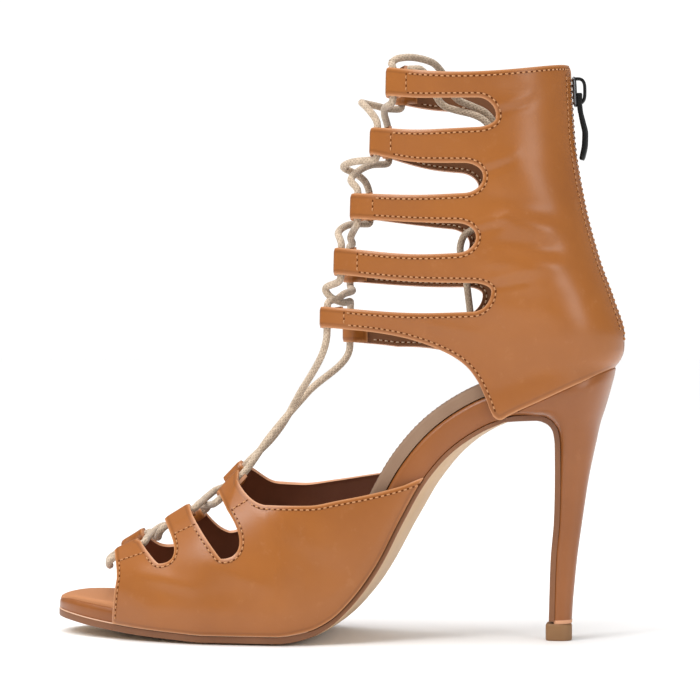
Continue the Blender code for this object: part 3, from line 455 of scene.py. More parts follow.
def castMetal(name, colour, dull, roughness, metallic=1.0, **fixed):
    # cast metal or enamel with a cloudy polish and small nicks
    made, tree, shader = newFinish(name, roughness, metallic, **fixed)
    grain = useGroup(tree, "grain", Pebble=5200.0, Cloud=240.0)
    tree.links.new(mixColour(tree, grain["Scuff"], colour, dull), shader.inputs["Base Color"])
    tree.links.new(mapRange(tree, grain["Tone"], 0.0, 1.0, roughness - 0.05, roughness + 0.12),
                   shader.inputs["Roughness"])
    bump(tree, shader, grain["Height"], 0.00001, 0.4)
    return made


finishes = {
    "upper": leather("upperLeather", (0.336, 0.110, 0.017), (0.283, 0.088, 0.012), (0.62, 0.30, 0.14), 0.34,
                     edges=True, **{"Specular IOR Level": 0.48}),
    "rim": leather("leatherRim", (0.64, 0.32, 0.18), (0.54, 0.25, 0.12), (0.70, 0.42, 0.28), 0.6, 2600.0),
    "lining": leather("leatherLining", (0.215, 0.092, 0.042), (0.165, 0.066, 0.028), (0.32, 0.17, 0.10), 0.70,
                      2200.0, **{"Specular IOR Level": 0.2}),
    # the lining inside the vamp, darker and redder than the quarter's: painted shade inside the vamp and its
    # notches
    "shadedVampLining": leather("shadedVampLining", (0.165, 0.046, 0.015), (0.120, 0.031, 0.009), (0.26, 0.13, 0.07),
                          0.62, 2200.0),
    # the same tan leather as the upper, made darker as painted shade of the platform and heel
    "shadedWrap": leather("shadedWrapLeather", (0.280, 0.089, 0.017), (0.231, 0.070, 0.012), (0.56, 0.25, 0.11), 0.34),
    "soleEdge": leather("soleEdgeLeather", (0.225, 0.088, 0.032), (0.165, 0.060, 0.020), (0.46, 0.25, 0.14),
                        0.5, 2600.0),
    "soleUnder": leather("soleUnderLeather", (0.56, 0.38, 0.22), (0.49, 0.325, 0.18), (0.64, 0.47, 0.31), 0.6,
                         2600.0),
    # the toe colour, the last of the three, carries a painted highlight
    "sock": sockLeather("sockLeather", (0.285, 0.180, 0.115), (0.220, 0.130, 0.080), (0.44, 0.185, 0.075)),
    "welt": leather("weltLeather", (0.74, 0.50, 0.35), (0.66, 0.42, 0.28), (0.80, 0.62, 0.48), 0.6, 2600.0),
    "lift": leather("liftRubber", (0.27, 0.135, 0.050), (0.21, 0.100, 0.036), (0.36, 0.20, 0.09), 0.55,
                    3000.0),
    "thread": cloth("threadTan", (0.56, 0.27, 0.115), (0.42, 0.185, 0.065), 9000.0, 0.00003, 0.8),
    "threadInner": cloth("threadPale", (0.60, 0.42, 0.28), (0.46, 0.31, 0.20), 9000.0, 0.00003, 0.8),
    "threadDark": cloth("threadBrown", (0.16, 0.09, 0.055), (0.10, 0.055, 0.032), 9000.0, 0.00003, 0.8),
    # painted shade of the needle holes
    "hole": newFinish("needleHoleShade", 0.95, **{"Base Color": (0.115, 0.034, 0.010, 1.0),
                                             "Specular IOR Level": 0.05})[0],
    "tape": cloth("zipTape", (0.030, 0.028, 0.027), (0.012, 0.011, 0.011), 5200.0, 0.00008),
    "lace": plaitedCotton("laceCotton", (0.58, 0.455, 0.335), (0.46, 0.355, 0.255), (0.27, 0.20, 0.14)),
    "steel": castMetal("zipSteel", (0.72, 0.72, 0.73), (0.45, 0.45, 0.46), 0.25),
    "gunmetal": castMetal("zipGunmetal", (0.12, 0.12, 0.125), (0.05, 0.05, 0.05), 0.25),
    "black": castMetal("blackEnamel", (0.006, 0.006, 0.006), (0.020, 0.020, 0.020), 0.30, 0.0,
                       **{"Specular IOR Level": 0.3}),
}
print("finishes made")

# shape of the last, shared by the sole and the upper
gap = 0.3      # between one layer and the next
sole = table(
    ("x", "z", "lateral", "medial", "cushion", "sock", "lean"),
    (-81.0, 9.0, -3.0, 5.0, 2.8, 0.5, 0.0),
    (-80.2, 8.9, 2.5, 10.0, 3.3, 0.6, 0.0),
    (-77.5, 8.6, 8.0, 15.0, 4.4, 0.9, 0.0),
    (-72.5, 8.0, 13.5, 19.5, 5.3, 1.3, 0.0),
    (-65.0, 7.0, 19.0, 24.5, 5.6, 1.8, 0.0),
    (-55.0, 5.9, 24.5, 30.0, 5.8, 2.0, 0.0),
    (-42.0, 4.7, 30.0, 35.0, 6.0, 2.2, 0.0),
    (-28.0, 3.8, 34.0, 38.0, 6.0, 2.4, 0.0),
    (-14.0, 3.1, 36.5, 38.8, 6.0, 2.6, 0.0),
    (12.0, 3.1, 36.5, 33.5, 6.4, 3.0, 0.0),
    (24.0, 4.9, 33.5, 29.0, 7.0, 3.4, -0.22),
    (32.0, 8.8, 30.8, 25.8, 7.6, 3.8, -0.52),
    (40.0, 16.6, 27.8, 22.5, 8.4, 4.2, -0.74),
    (48.6, 29.0, 24.8, 19.8, 9.2, 4.4, -0.86),
    (57.2, 46.0, 22.6, 18.2, 9.8, 4.6, -0.87),
    (65.5, 60.8, 21.6, 18.2, 10.0, 4.6, -0.80),
    (76.4, 73.2, 21.8, 19.2, 10.0, 4.6, -0.66),
    (89.8, 81.8, 23.0, 21.6, 10.0, 4.6, -0.46),
    (98.5, 85.3, 23.4, 22.6, 10.0, 4.6, -0.40),
    (110.0, 90.6, 23.2, 23.0, 10.0, 4.6, -0.26),
    (120.0, 95.2, 21.7, 21.7, 10.0, 4.6, -0.10),
    (127.0, 98.4, 17.6, 17.6, 10.0, 4.6, 0.02),
    (131.5, 100.5, 12.0, 12.0, 10.0, 4.6, 0.08),
    (133.6, 101.5, 6.0, 6.0, 10.0, 4.6, 0.10),
    (134.2, 101.8, 0.8, 0.8, 10.0, 4.6, 0.10),
)


seatRows = 19      # rows of the sole from the toe to the heel seat; the rest close its round end


def soleAt(name, x):
    # one measure of the sole between the toe and the heel seat
    return smooth(sole["x"][:seatRows], sole[name][:seatRows], x)


def alongSole(step, lastX=200.0):
    # stations at even steps between the named ones
    run = runLength(join(sole["x"], sole["z"]))
    counts = np.maximum(2, np.round(np.diff(run) / step).astype(int))
    at = np.concatenate([np.linspace(a, b, n, endpoint=False) for a, b, n in zip(run[:-1], run[1:], counts)]
                        + [run[-1:]])
    line = {name: smooth(run, values, at) for name, values in sole.items()}
    keep = line["x"] <= lastX
    return {name: values[keep] for name, values in line.items()}


def soleLayer(line, inset, low, high, lowRound, highRound, crown=0.0, drop=0.0):
    # rounded box section, square to the sole's slope and carried along it; crown lifts the middle of the top,
    # drop lowers the middle of the underside
    degrees = np.concatenate([np.full(9, -90.0), np.linspace(-90, 0, 5)[1:], np.linspace(0, 90, 7)[:-1],
                              np.full(15, 90.0), np.linspace(90, 180, 7)[1:], np.linspace(180, 270, 5)[:-1]])
    flat = np.concatenate([np.linspace(-1, 1, 9), np.ones(10), np.linspace(1, -1, 15), -np.ones(10)])
    top = np.concatenate([np.zeros(13), np.ones(27), np.zeros(4)])
    c, s = np.cos(np.radians(degrees)), np.sin(np.radians(degrees))
    half = (line["medial"] + line["lateral"]) / 2
    half = np.maximum(half - inset * np.minimum(half / 8, 1), 0.4)[:, None]
    low, high, drop = (np.broadcast_to(value, line["x"].shape)[:, None] for value in (low, high, drop))
    rounding = np.minimum(np.where(top > 0, highRound, lowRound)[None, :],
                          np.minimum((high - low) / 2, half * 0.45))
    y = (line["medial"] - line["lateral"])[:, None] / 2 + flat * (half - rounding) + c * rounding
    height = np.where(top > 0, high - rounding + s * rounding, low + rounding + s * rounding)
    height = height + (crown * top - drop * (1 - top)) * np.clip(1 - flat ** 2, 0, 1) ** 0.6
    lean = line["lean"][:, None]
    x = line["x"][:, None] + height * lean
    z = line["z"][:, None] + height * np.sqrt(1 - lean ** 2)
    return join(x, y, z)


outsoleShape = {"edge": 2.4, "waistEdge": 1.3, "step": 2.4, "round": 0.35, "flapBack": 0.85, "lip": 0.22}
outsoleMiddle = table(
    ("x", "thick"),
    (20.0, 3.1), (30.0, 2.4), (36.0, 1.9), (44.0, 1.6), (50.0, 2.0), (57.0, 3.0),
    (62.0, 3.4), (68.0, 3.3), (76.0, 2.6), (84.0, 1.8), (92.0, 1.5),
)
flap = table(
    ("x", "z", "half", "middle"),
    (96.0, 84.35, 21.5, 1.5),
    (102.0, 84.7, 18.5, 1.5),
    (107.5, 84.8, 15.0, 1.5),
    (112.0, 83.2, 12.0, 1.5),
    (114.6, 79.4, 9.8, 1.5),
    (115.2, 74.0, 8.2, 1.5),
    (115.1, 60.0, 5.8, 1.5),
    (114.7, 45.6, 4.9, 1.5),
    (113.4, 30.7, 4.5, 1.4),
    (112.8, 12.5, 4.3, 1.4),
    (112.7, 7.3, 4.3, 1.4),
)


def flapRings():
    # the same section on the line that leaves the seat and runs down the front of the heel
    run = runLength(join(flap["x"], flap["z"]))
    at = np.linspace(0, run[-1], 56)
    line = {name: smooth(run, values, at) for name, values in flap.items()}
    tangent = unit(join(np.gradient(line["x"], at), np.gradient(line["z"], at)))
    bend = {"x": line["x"], "z": line["z"], "lateral": line["half"], "medial": line["half"],
            "lean": np.zeros_like(at)}
    edge = np.minimum(outsoleShape["waistEdge"], line["middle"])
    thicker = outsoleShape["lip"] + (outsoleShape["flapBack"] - outsoleShape["lip"]) * np.clip(at / 4, 0, 1)
    rings = soleLayer(bend, 0.0, -edge, thicker, 0.35, 0.12, drop=line["middle"] - edge)
    height = rings[..., 2] - line["z"][:, None]
    rings[..., 0] = line["x"][:, None] - height * tangent[:, 1:2]
    rings[..., 2] = line["z"][:, None] + height * tangent[:, 0:1]
    return rings


def makeOutsole():
    # rounded sections from the toe to the heel seat, then the flap; the underside has its own colour
    line = alongSole(outsoleShape["step"], 90.0)
    forefoot = np.clip((36.0 - line["x"]) / 16.0, 0, 1)
    edge = outsoleShape["waistEdge"] + (outsoleShape["edge"] - outsoleShape["waistEdge"]) * forefoot
    middle = np.maximum(smooth(outsoleMiddle["x"], outsoleMiddle["thick"], line["x"]), edge)
    rings = soleLayer(line, 0.0, -edge, outsoleShape["lip"], outsoleShape["round"], 0.25, drop=middle - edge)
    rings = np.concatenate([rings, flapRings()])
    rings[..., 2] = np.maximum(rings[..., 2], 0.0)
    points, faces = loft(rings)
    column = np.tile(np.arange(rings.shape[1]), len(rings) - 1)
    finish = np.concatenate([np.where(column < 8, 1, 0), [0, 0]])
    piece = meshFrom("outsole", points, faces, (finishes["soleEdge"], finishes["soleUnder"]), finish,
                     outward=True, sharp=50)
    return place(piece, "outsole_leather", "outsole")


platform = {"tuck": 1.0, "step": 2.4, "topRound": 2.2, "sockInset": 0.7, "crown": 0.7, "lift": 0.3,
            "toeFrom": -44.0, "toeOver": 14.0, "toeInset": 1.0, "toeSink": 1.1, "toeLift": 0.75,
            "weltHigh": 0.5, "weltEnd": 24.0}


def makePlatform():
    # three layers of rounded sections: the wrapped platform, the padded sock and a thin pale welt at the toe
    line = alongSole(platform["step"])
    rings = soleLayer(line, platform["tuck"], gap, gap + line["cushion"], 0.5, platform["topRound"])
    # the wrap's colour is darkened as painted shade
    lofted("platformWrap", rings, "shadedWrap", "wrapped_leather", "midsole")
    toe = np.clip((platform["toeFrom"] - line["x"]) / platform["toeOver"], 0, 1)
    inset = platform["tuck"] + platform["sockInset"] + platform["toeInset"] * toe
    low = gap + 0.1 + line["cushion"] - platform["toeSink"] * toe
    high = low + line["sock"] + platform["lift"] + platform["toeLift"] * toe
    rings = soleLayer(line, inset, low, high, 0.2, 1.5, platform["crown"])
    sock = lofted("paddedSock", rings, "sock", "sock_fabric", "insole")
    front = alongSole(platform["step"], platform["weltEnd"])
    rings = soleLayer(front, 0.1, outsoleShape["lip"], platform["weltHigh"], 0.1, 0.15)
    lofted("welt", rings, "welt", "wrapped_leather")
    return line, inset, low + platform["lift"]      # for the row of stitches on the sock


heelShape = table(
    ("frontX", "frontZ", "backX", "backZ", "half"),
    (113.1, 6.3, 119.8, 6.6, 4.5),
    (113.2, 12.5, 120.2, 12.9, 4.6),
    (113.8, 30.7, 121.9, 31.0, 4.9),
    (115.1, 45.6, 124.0, 46.2, 5.4),
    (115.5, 60.0, 126.4, 62.0, 6.8),
    (115.7, 73.0, 129.0, 74.5, 9.8),
    (115.4, 78.6, 130.6, 82.0, 13.0),
    (113.0, 83.2, 132.8, 89.0, 17.4),
    (108.8, 85.2, 134.8, 96.0, 21.0),
    (103.4, 85.3, 135.9, 100.2, 22.9),
    (96.2, 84.6, 136.4, 103.1, 23.7),
    (96.4, 85.6, 135.6, 104.3, 23.0),
)


def heelPlan(count, front, back):
    # both coordinates of a superellipse with one power for its front half and another for its back
    angle = circle(count)
    power = 2 / np.where(np.cos(angle) < 0, front, back)
    return signedPower(np.cos(angle), power), signedPower(np.sin(angle), power)


def heelRings(at):
    # slanting sections, squarer at the front than at the back, one above the other
    rows = np.arange(len(heelShape["half"]), dtype=float)
    line = {name: smooth(rows, values, at)[:, None] for name, values in heelShape.items()}
    along, across = heelPlan(64, 4.5, 2.2)
    widest = 0.42      # share of the way from front to back
    p = widest + np.where(along < 0, widest, 1 - widest) * along
    x = line["frontX"] + p * (line["backX"] - line["frontX"])
    z = line["frontZ"] + p * (line["backZ"] - line["frontZ"])
    return join(x, line["half"] * across, z)


topLift = {"x": 115.0, "halfX": 4.9, "halfY": 4.7, "z": (0.0, 0.15, 0.5, 1.0, 5.4, 6.0, 6.4),
           "grow": (-0.5, -0.15, 0.0, 0.05, 0.05, -0.05, -0.35)}
heelHem = {"row": (0.0, 0.05, 0.15, 0.22, 0.25), "swell": (0.0, 0.12, 0.16, 0.12, 0.0)}


def makeHeel():
    # the covered block, the hem of its cover as rings pushed outwards in the lighter rim leather as a painted
    # highlight along its fold, and the lift as level superellipses
    # the heel's cover takes the darkened wrap colour, painted shade
    lofted("heelWrap", heelRings(np.append(np.linspace(0, 10, 90), 11.0)), "shadedWrap", "wrapped_leather", "heel")
    hem = heelRings(np.array(heelHem["row"]))
    middle = hem.mean(axis=1, keepdims=True)
    hem = hem + np.array(heelHem["swell"])[:, None, None] * unit((hem - middle) * np.array([1.0, 1.0, 0.0]))
    # painted highlight: the hem takes the lighter rim leather where its fold catches light
    lofted("heelHem", hem, "rim", "wrapped_leather")
    along, across = heelPlan(48, 5, 2.4)
    z = np.array(topLift["z"])[:, None]
    grow = np.array(topLift["grow"])[:, None]
    x = topLift["x"] + (topLift["halfX"] + grow) * along
    y = (topLift["halfY"] + grow) * across
    lofted("topLift", join(x, y, z), "lift", "lift_rubber", "top_lift", sharp=40)


makeOutsole()
sockLine, sockInset, sockLow = makePlatform()
makeHeel()
print("sole and heel made")

# the upper: one table for each edge that a pattern cutter would draw in the side view
upper = {"wall": 1.3, "loopRadius": 2.9, "strapFlap": 7.0, "tabFlap": 3.6, "halfThroat": 14.5, "zipHalf": 2.7,
         "bulge": ((-56.0, -14.0, 10.0, 40.0, 66.0), (3.2, 4.0, 4.0, 2.6, 1.9)), "bulgeHeight": 10.0,
         "footBulge": 0.8, "medialDrop": 5.0, "dropFrom": 80.0, "slotRound": 7.0, "slotMidX": 67.0,
         "archDropOver": 30.0, "slotDropOver": 45.0, "last": 2.1, "plan": 0.9, "edgeRoll": 0.34,
         "rollWidth": 0.75, "zipFoot": 108.8, "zipFootLength": 4.7}
ridge = table(
    ("x", "z"),
    (-60.0, 37.0), (-55.0, 39.8), (-46.0, 43.6), (-35.5, 49.8), (-26.0, 55.2), (-14.0, 62.6),
    (-8.0, 67.4), (9.0, 80.0), (24.0, 92.0), (40.0, 102.0), (66.0, 116.0),
)
vampEdge = {
    "lateral": table(
        ("foot", "x", "z"),
        (-52.8, -50.4, 23.0), (-24.0, -33.0, 29.9), (4.0, -8.0, 32.4), (20.0, 8.9, 52.2), (30.0, 23.7, 52.1),
        (40.0, 35.3, 54.0), (49.0, 46.5, 56.2), (58.0, 57.7, 59.1), (64.4, 66.0, 62.0)),
    "medial": table(
        ("foot", "x", "z"),
        (-57.6, -56.8, 23.5), (-31.0, -42.0, 32.0), (-4.0, -20.5, 37.2), (16.0, 1.0, 57.8),
        (27.0, 12.0, 57.2), (37.0, 25.0, 58.8), (47.0, 40.0, 61.2), (57.0, 54.7, 63.4), (64.4, 66.0, 65.0)),
}
tabs = {
    "lateral": (
        {"left": ((-50.4, 23.0), (-50.3, 26.5), (-52.2, 31.0), (-54.0, 35.0)),
         "right": ((-33.0, 29.9), (-35.0, 30.8), (-41.0, 36.6), (-44.9, 39.4))},
        {"left": ((-33.0, 29.9), (-25.0, 30.3), (-24.5, 37.0), (-35.2, 46.6)),
         "right": ((-8.0, 32.4), (-11.0, 35.5), (-20.0, 46.5), (-26.0, 52.4))},
        {"left": ((-8.0, 32.4), (2.0, 32.2), (2.0, 44.5), (-14.8, 56.6)),
         "right": ((8.9, 52.2), (3.0, 52.0), (-2.6, 58.0), (-8.4, 64.6))}),
    "medial": (
        {"left": ((-56.8, 23.5), (-57.0, 26.5), (-59.4, 31.0), (-61.0, 34.4)),
         "right": ((-42.0, 32.0), (-48.0, 31.0), (-50.4, 34.0), (-51.4, 40.2))},
        {"left": ((-42.0, 32.0), (-35.5, 32.0), (-34.5, 38.0), (-38.6, 44.4)),
         "right": ((-20.5, 37.2), (-24.0, 38.4), (-27.0, 41.4), (-29.6, 49.4))},
        {"left": ((-20.5, 37.2), (-12.0, 37.2), (-10.0, 47.0), (-17.0, 60.4)),
         "right": ((1.0, 57.8), (-3.0, 58.2), (-5.6, 62.0), (-10.2, 67.4))}),
}
tabSag = ((0.0, -1.0), (1.5, -4.0), (2.5, -9.0))      # middle of the line where each tab joins the panel
ankle = table(
    ("z", "back", "half", "round", "front"),
    (80.0, 136.0, 24.9, 25.0, 12.0),
    (100.0, 136.0, 25.4, 25.0, 18.0),
    (103.8, 136.5, 25.8, 25.0, 19.2),
    (106.0, 138.1, 26.2, 25.0, 20.0),
    (110.0, 139.6, 26.8, 25.6, 21.2),
    (115.0, 139.8, 27.8, 26.2, 22.6),
    (129.0, 135.9, 29.6, 28.0, 25.6),
    (143.8, 130.6, 29.8, 30.0, 29.0),
    (166.5, 124.7, 28.8, 32.0, 35.6),
    (190.1, 121.0, 28.4, 33.0, 43.0),
    (218.0, 119.4, 29.4, 33.0, 49.6),
)
archEdge = table(
    ("x", "z"),
    (20.0, 119.2), (35.3, 117.8), (46.2, 116.7), (57.0, 114.9), (65.1, 112.7), (73.1, 109.6),
    (78.4, 106.8), (82.9, 103.2), (86.9, 97.6), (89.9, 91.0), (92.2, 85.4), (94.6, 83.9),
    (98.5, 85.9), (110.0, 91.2), (120.0, 95.8), (128.0, 99.4), (137.0, 103.4),
)
slots = table(
    ("endX", "endZ", "midLow", "midHigh", "frontLow", "frontHigh"),
    (92.0, 131.7, 123.7, 135.2, 126.7, 139.6),
    (86.3, 151.8, 145.6, 157.4, 149.1, 160.5),
    (88.9, 174.1, 167.8, 179.7, 169.5, 186.5),
    (93.8, 196.2, 192.1, 203.8, 194.4, 207.1),
)
strapFront = {"lateral": (24.0, 29.3, 35.6, 43.0, 49.2), "medial": (28.5, 28.2, 36.0, 43.2, 48.0)}
medialHigher = (-1.8, 1.8, 2.0, 0.6)      # upper edge of each inner slot at its front, above the outer one
medialShort = np.array([9.0, 8.5, 7.5, 7.5])      # how much further forward each inner slot ends
slotLineEnds = (79.0, 106.0, 95.0, 218.0)      # x and z of the line through the slot ends, below and above
sideSign = {"lateral": -1.0, "medial": 1.0}


def bell(distance, width):
    # 1 in the middle, falling off as e to the minus square of the distance
    return np.exp(-(distance / width) ** 2)


def troughs(x, z, lines):
    # soft troughs (negative) and ridges (positive) beside short lines in the side view
    total = np.zeros(np.broadcast(x, z).shape)
    for x0, z0, x1, z1, width, height in lines:
        along = np.array([x1 - x0, z1 - z0])
        length = np.hypot(*along)
        along = along / length
        run = (x - x0) * along[0] + (z - z0) * along[1]
        off = (x - x0) * along[1] - (z - z0) * along[0]
        past = np.maximum(np.maximum(-run, run - length), 0.0)
        total = total + height * bell(off, width) * bell(past, 1.6 * width)
    return total


vampCreases = (
    (-40.0, 26.0, -20.0, 21.5, 3.2, 0.45), (-30.0, 20.0, -8.0, 19.0, 4.0, -0.35),
    (-10.0, 30.0, 6.0, 24.0, 3.4, 0.40), (12.0, 48.0, 26.0, 38.0, 5.0, 0.45),
    (18.0, 36.0, 34.0, 28.0, 6.0, -0.40), (-46.0, 20.0, -36.0, 12.0, 4.5, 0.35),
)
counterCreases = (
    (96.0, 198.0, 104.0, 200.5, 1.5, -0.45), (96.5, 201.0, 105.0, 204.0, 1.8, 0.35),
    (91.0, 176.0, 98.0, 178.5, 1.5, -0.45), (91.5, 179.5, 100.0, 182.5, 1.8, 0.35),
    (88.5, 153.5, 95.0, 155.5, 1.5, -0.40), (88.0, 156.5, 97.0, 159.0, 1.8, 0.35),
    (94.5, 133.5, 104.0, 135.0, 1.5, -0.50), (94.0, 136.5, 106.0, 139.0, 2.0, 0.40),
    (96.0, 165.0, 109.0, 162.0, 4.0, -0.55), (99.0, 158.0, 112.0, 155.0, 3.6, 0.75),
    (99.0, 149.5, 113.0, 147.0, 3.4, -0.80), (97.0, 142.0, 114.0, 141.0, 3.8, 0.70),
    (100.0, 130.0, 116.0, 128.0, 4.5, -0.45), (98.0, 178.0, 107.0, 175.0, 5.0, 0.35),
    (98.0, 206.0, 106.0, 204.0, 3.0, -0.35), (96.0, 96.0, 112.0, 103.0, 4.0, -0.40),
    (102.0, 112.0, 120.0, 114.0, 5.0, 0.35),
    (70.0, 119.0, 86.0, 116.0, 2.4, 0.35),
)


def lastHalf(x, z, side):
    # superellipse from the widest line up to the ridge, and a parabola that tucks in below it
    edge = soleAt(side, x)
    bulge = np.interp(x, *upper["bulge"])
    waist = soleAt("z", x) + upper["bulgeHeight"]
    over = np.clip((z - waist) / (smooth(ridge["x"], ridge["z"], x) - waist), 0, 0.999)
    under = np.clip((waist - z) / upper["bulgeHeight"], 0, 1)
    closing = (1 - over ** upper["last"]) ** (1 / upper["last"])
    return (edge + bulge) * closing - (bulge - upper["footBulge"]) * under ** 2


def ankleAt(name, z):
    # one measure of the ankle's plan outline at a height
    return smooth(ankle["z"], ankle[name], z)


def ankleHalf(x, z, side=None):
    # plan outline as a superellipse about the widest line, longer towards the front than the back;
    # the same on both sides, but called like the half width of the last
    half, back, length = ankleAt("half", z), ankleAt("back", z), ankleAt("round", z)
    widest = back - length
    reach = np.sqrt(1 - (upper["halfThroat"] / half) ** (2 / upper["plan"]))
    axis = np.where(x > widest, length, (widest - ankleAt("front", z)) / reach)
    return half * (1 - np.clip((x - widest) / axis, -1, 1) ** 2) ** (upper["plan"] / 2)


def lift(flat, halfAt, side):
    # a place in the side view raised to the surface
    x, z = flat[..., 0], flat[..., 1]
    return join(x, sideSign[side] * halfAt(x, z, side), z)


def outNormal(flat, halfAt, side):
    # gradient of the surface taken over a twentieth of a millimetre
    step = 0.05
    x, z = flat[..., 0], flat[..., 1]
    alongX = (halfAt(x + step, z, side) - halfAt(x - step, z, side)) / (2 * step)
    alongZ = (halfAt(x, z + step, side) - halfAt(x, z - step, side)) / (2 * step)
    return unit(join(-alongX, sideSign[side], -alongZ))


def foldRun(last, before):
    # along the strap at its end and square to the fold, and along the fold
    across = unit(last[-1] - last[0])
    run = unit(np.mean(last - before, axis=0))
    return unit(run - np.dot(run, across) * across), across


def laceLoop(last, before, flapLength):
    # half a circle round the lace, then a flap that eases back to lie behind the strap
    run, across = foldRun(last, before)
    inward = np.cross(run, across)
    inward = inward * -np.sign(inward[1] * last[0, 1])
    radius = upper["loopRadius"]
    angle = np.linspace(0, math.pi, 25)[1:, None, None]
    roundRows = last[None] + radius * (np.sin(angle) * run + (1 - np.cos(angle)) * inward)
    rest = 2 * upper["wall"] + 2 * gap
    part = np.linspace(0, 1, 10)[1:, None, None]
    depth = 2 * radius + (rest - 2 * radius) * part * part * (3 - 2 * part)
    flapRows = last[None] - flapLength * part * run + depth * inward
    middle = last + radius * inward
    return np.concatenate([last[None], roundRows, flapRows]), (middle[0], middle[-1])


def raised(grid, lines, flip):
    # troughs and ridges pushed along the normal of the grid
    normal = gridNormals(grid) * (1.0 if flip else -1.0)
    outward = np.sign(np.sum(normal[..., 1] * grid[..., 1]))
    return grid + (normal * outward) * troughs(grid[..., 0], grid[..., 2], lines)[..., None]


def addEdgeDistance(piece):
    # distance from every vertex to the nearest open edge, kept as an attribute in millimetres; the rim
    # rolls inwards under a bell curve of that distance
    mesh = piece.data
    count = len(mesh.loops)
    corners = np.empty(count, np.int64)
    mesh.loops.foreach_get("edge_index", corners)
    once = np.bincount(corners, minlength=len(mesh.edges)) == 1
    ends = np.empty(len(mesh.edges) * 2, np.int64)
    mesh.edges.foreach_get("vertices", ends)
    rim = np.unique(ends.reshape(-1, 2)[once])
    points = readVertices(mesh, "co") / mm
    border = points[rim]
    away = np.concatenate([np.sqrt(((points[i:i + 2000, None] - border[None]) ** 2).sum(-1)).min(1)
                           for i in range(0, len(points), 2000)])
    layer = mesh.attributes.new("edge", "FLOAT", "POINT")
    layer.data.foreach_set("value", away.astype(np.float32))
    depth = upper["edgeRoll"] * bell(away, upper["rollWidth"])
    rolled = points - readVertices(mesh, "normal") * depth[:, None]
    mesh.vertices.foreach_set("co", (rolled * mm).ravel())
    mesh.update()


def shell(name, sheets, lining, slotName, *nodes):
    # open sheets welded at their shared edges, given the thickness of the leather on their inner side
    points, faces, start = [], [], 0
    for grid, flip in sheets:
        points.append(grid.reshape(-1, 3))
        faces.append(gridFaces(grid.shape[0], grid.shape[1], start, flip))
        start += grid.shape[0] * grid.shape[1]
    piece = meshFrom(name, np.concatenate(points), np.concatenate(faces),
                     (finishes["upper"], finishes["rim"], finishes[lining]), merge=0.02)
    addEdgeDistance(piece)
    wall = piece.modifiers.new("wall", "SOLIDIFY")
    wall.thickness = upper["wall"] * mm
    wall.offset = -1.0
    wall.use_quality_normals = True
    wall.material_offset_rim = 1
    wall.material_offset = 2
    settle(piece, 40)
    return place(piece, slotName, *nodes)


loops = {}


def tabEdge(k, side, which, at):
    # cubic edge of a tab in the side view
    return cubic(tabs[side][k][which], at)


def vampTop(side, stations):
    # top line of the panel: straight under the tabs, smooth behind them
    edge = vampEdge[side]
    rows = np.arange(len(edge["x"]), dtype=float)
    return np.stack([np.where(stations > 3, smooth(rows[3:], edge[name][3:], np.maximum(stations, 3)),
                              np.interp(stations, rows, edge[name])) for name in ("x", "z")], axis=-1)


def seamSag(k, part):
    # the line that joins a tab to the panel sags below the straight one
    return np.array(tabSag[k]) * np.sin(math.pi * part)[:, None]


tabBend = 0.82      # share of a tab's length over which it follows the last; beyond it the tab is straight


def makeVamp(side):
    # the panel is ruled from its foot to its top line, and each tab across from its left edge to its right
    flip = side == "medial"
    columns = 16
    stations = np.concatenate([np.arange(3 * columns) / columns, np.linspace(3, 8, 56)])
    rows = np.arange(len(vampEdge[side]["x"]), dtype=float)
    footX = smooth(rows, vampEdge[side]["foot"], stations)
    foot = join(footX, soleAt("z", footX) + gap)
    rise = np.linspace(0, 1, 34)
    rise = (0.5 * rise + 0.5 * rise * rise * (3 - 2 * rise))[:, None, None]
    top = vampTop(side, stations)
    for k in range(3):
        top[k * columns:(k + 1) * columns + 1] += seamSag(k, np.linspace(0, 1, columns + 1))
    panel = lift(foot + rise * (top - foot), lastHalf, side)
    sheets = [(raised(panel, vampCreases, flip), flip)]
    for k in range(3):
        across = np.linspace(0, 1, columns + 1)[None, :, None]
        early = tabBend * np.linspace(0, 1, 20) ** 1.1
        left, right = tabEdge(k, side, "left", early), tabEdge(k, side, "right", early)
        flat = left[:, None] + across * (right - left)[:, None]
        flat = flat + seamSag(k, across[0, :, 0])[None] * ((1 - early / tabBend) ** 2)[:, None, None]
        grid = raised(lift(flat, lastHalf, side), vampCreases, flip)
        late = np.array([tabBend, 1.0])
        left, right = tabEdge(k, side, "left", late), tabEdge(k, side, "right", late)
        end = lift(left[:, None] + across * (right - left)[:, None], lastHalf, side)
        last = end[1] - upper["loopRadius"] * foldRun(end[1], end[0])[0]
        blend = np.linspace(0, 1, 6)[1:, None, None]
        grid = np.concatenate([grid, grid[-1:] + blend * (last - grid[-1:])])
        grid[0] = sheets[0][0][-1, k * columns:(k + 1) * columns + 1]
        sheets.append((grid, flip))
        loopRows, loops[side, k] = laceLoop(last, end[0], upper["tabFlap"])
        loopRows[0] = grid[-1]
        sheets.append((loopRows, flip))
    # the lining here is the darker copy, painted shade inside the vamp
    return shell("vamp" + side.capitalize(), sheets, "shadedVampLining", "upper_leather", "vamp_" + side)


def archHeight(x, side):
    # lower edge of the quarter, which sinks towards the front on the inner side
    height = smooth(archEdge["x"], archEdge["z"], x)
    if side == "medial":
        height = height - upper["medialDrop"] * np.clip((upper["dropFrom"] - x) / upper["archDropOver"], 0, 1)
    return height


collar = {"low": 213.0, "lowX": 84.0, "rise": 4.0, "span": 34.0}


def collarHeight(x):
    # upper edge of the quarter, a shallow parabola in the side view
    return collar["low"] + collar["rise"] * ((x - collar["lowX"]) / collar["span"]) ** 2


def slotEnds(side):
    # the closed ends of one side's slots
    return slots["endX"] - medialShort * (side == "medial")


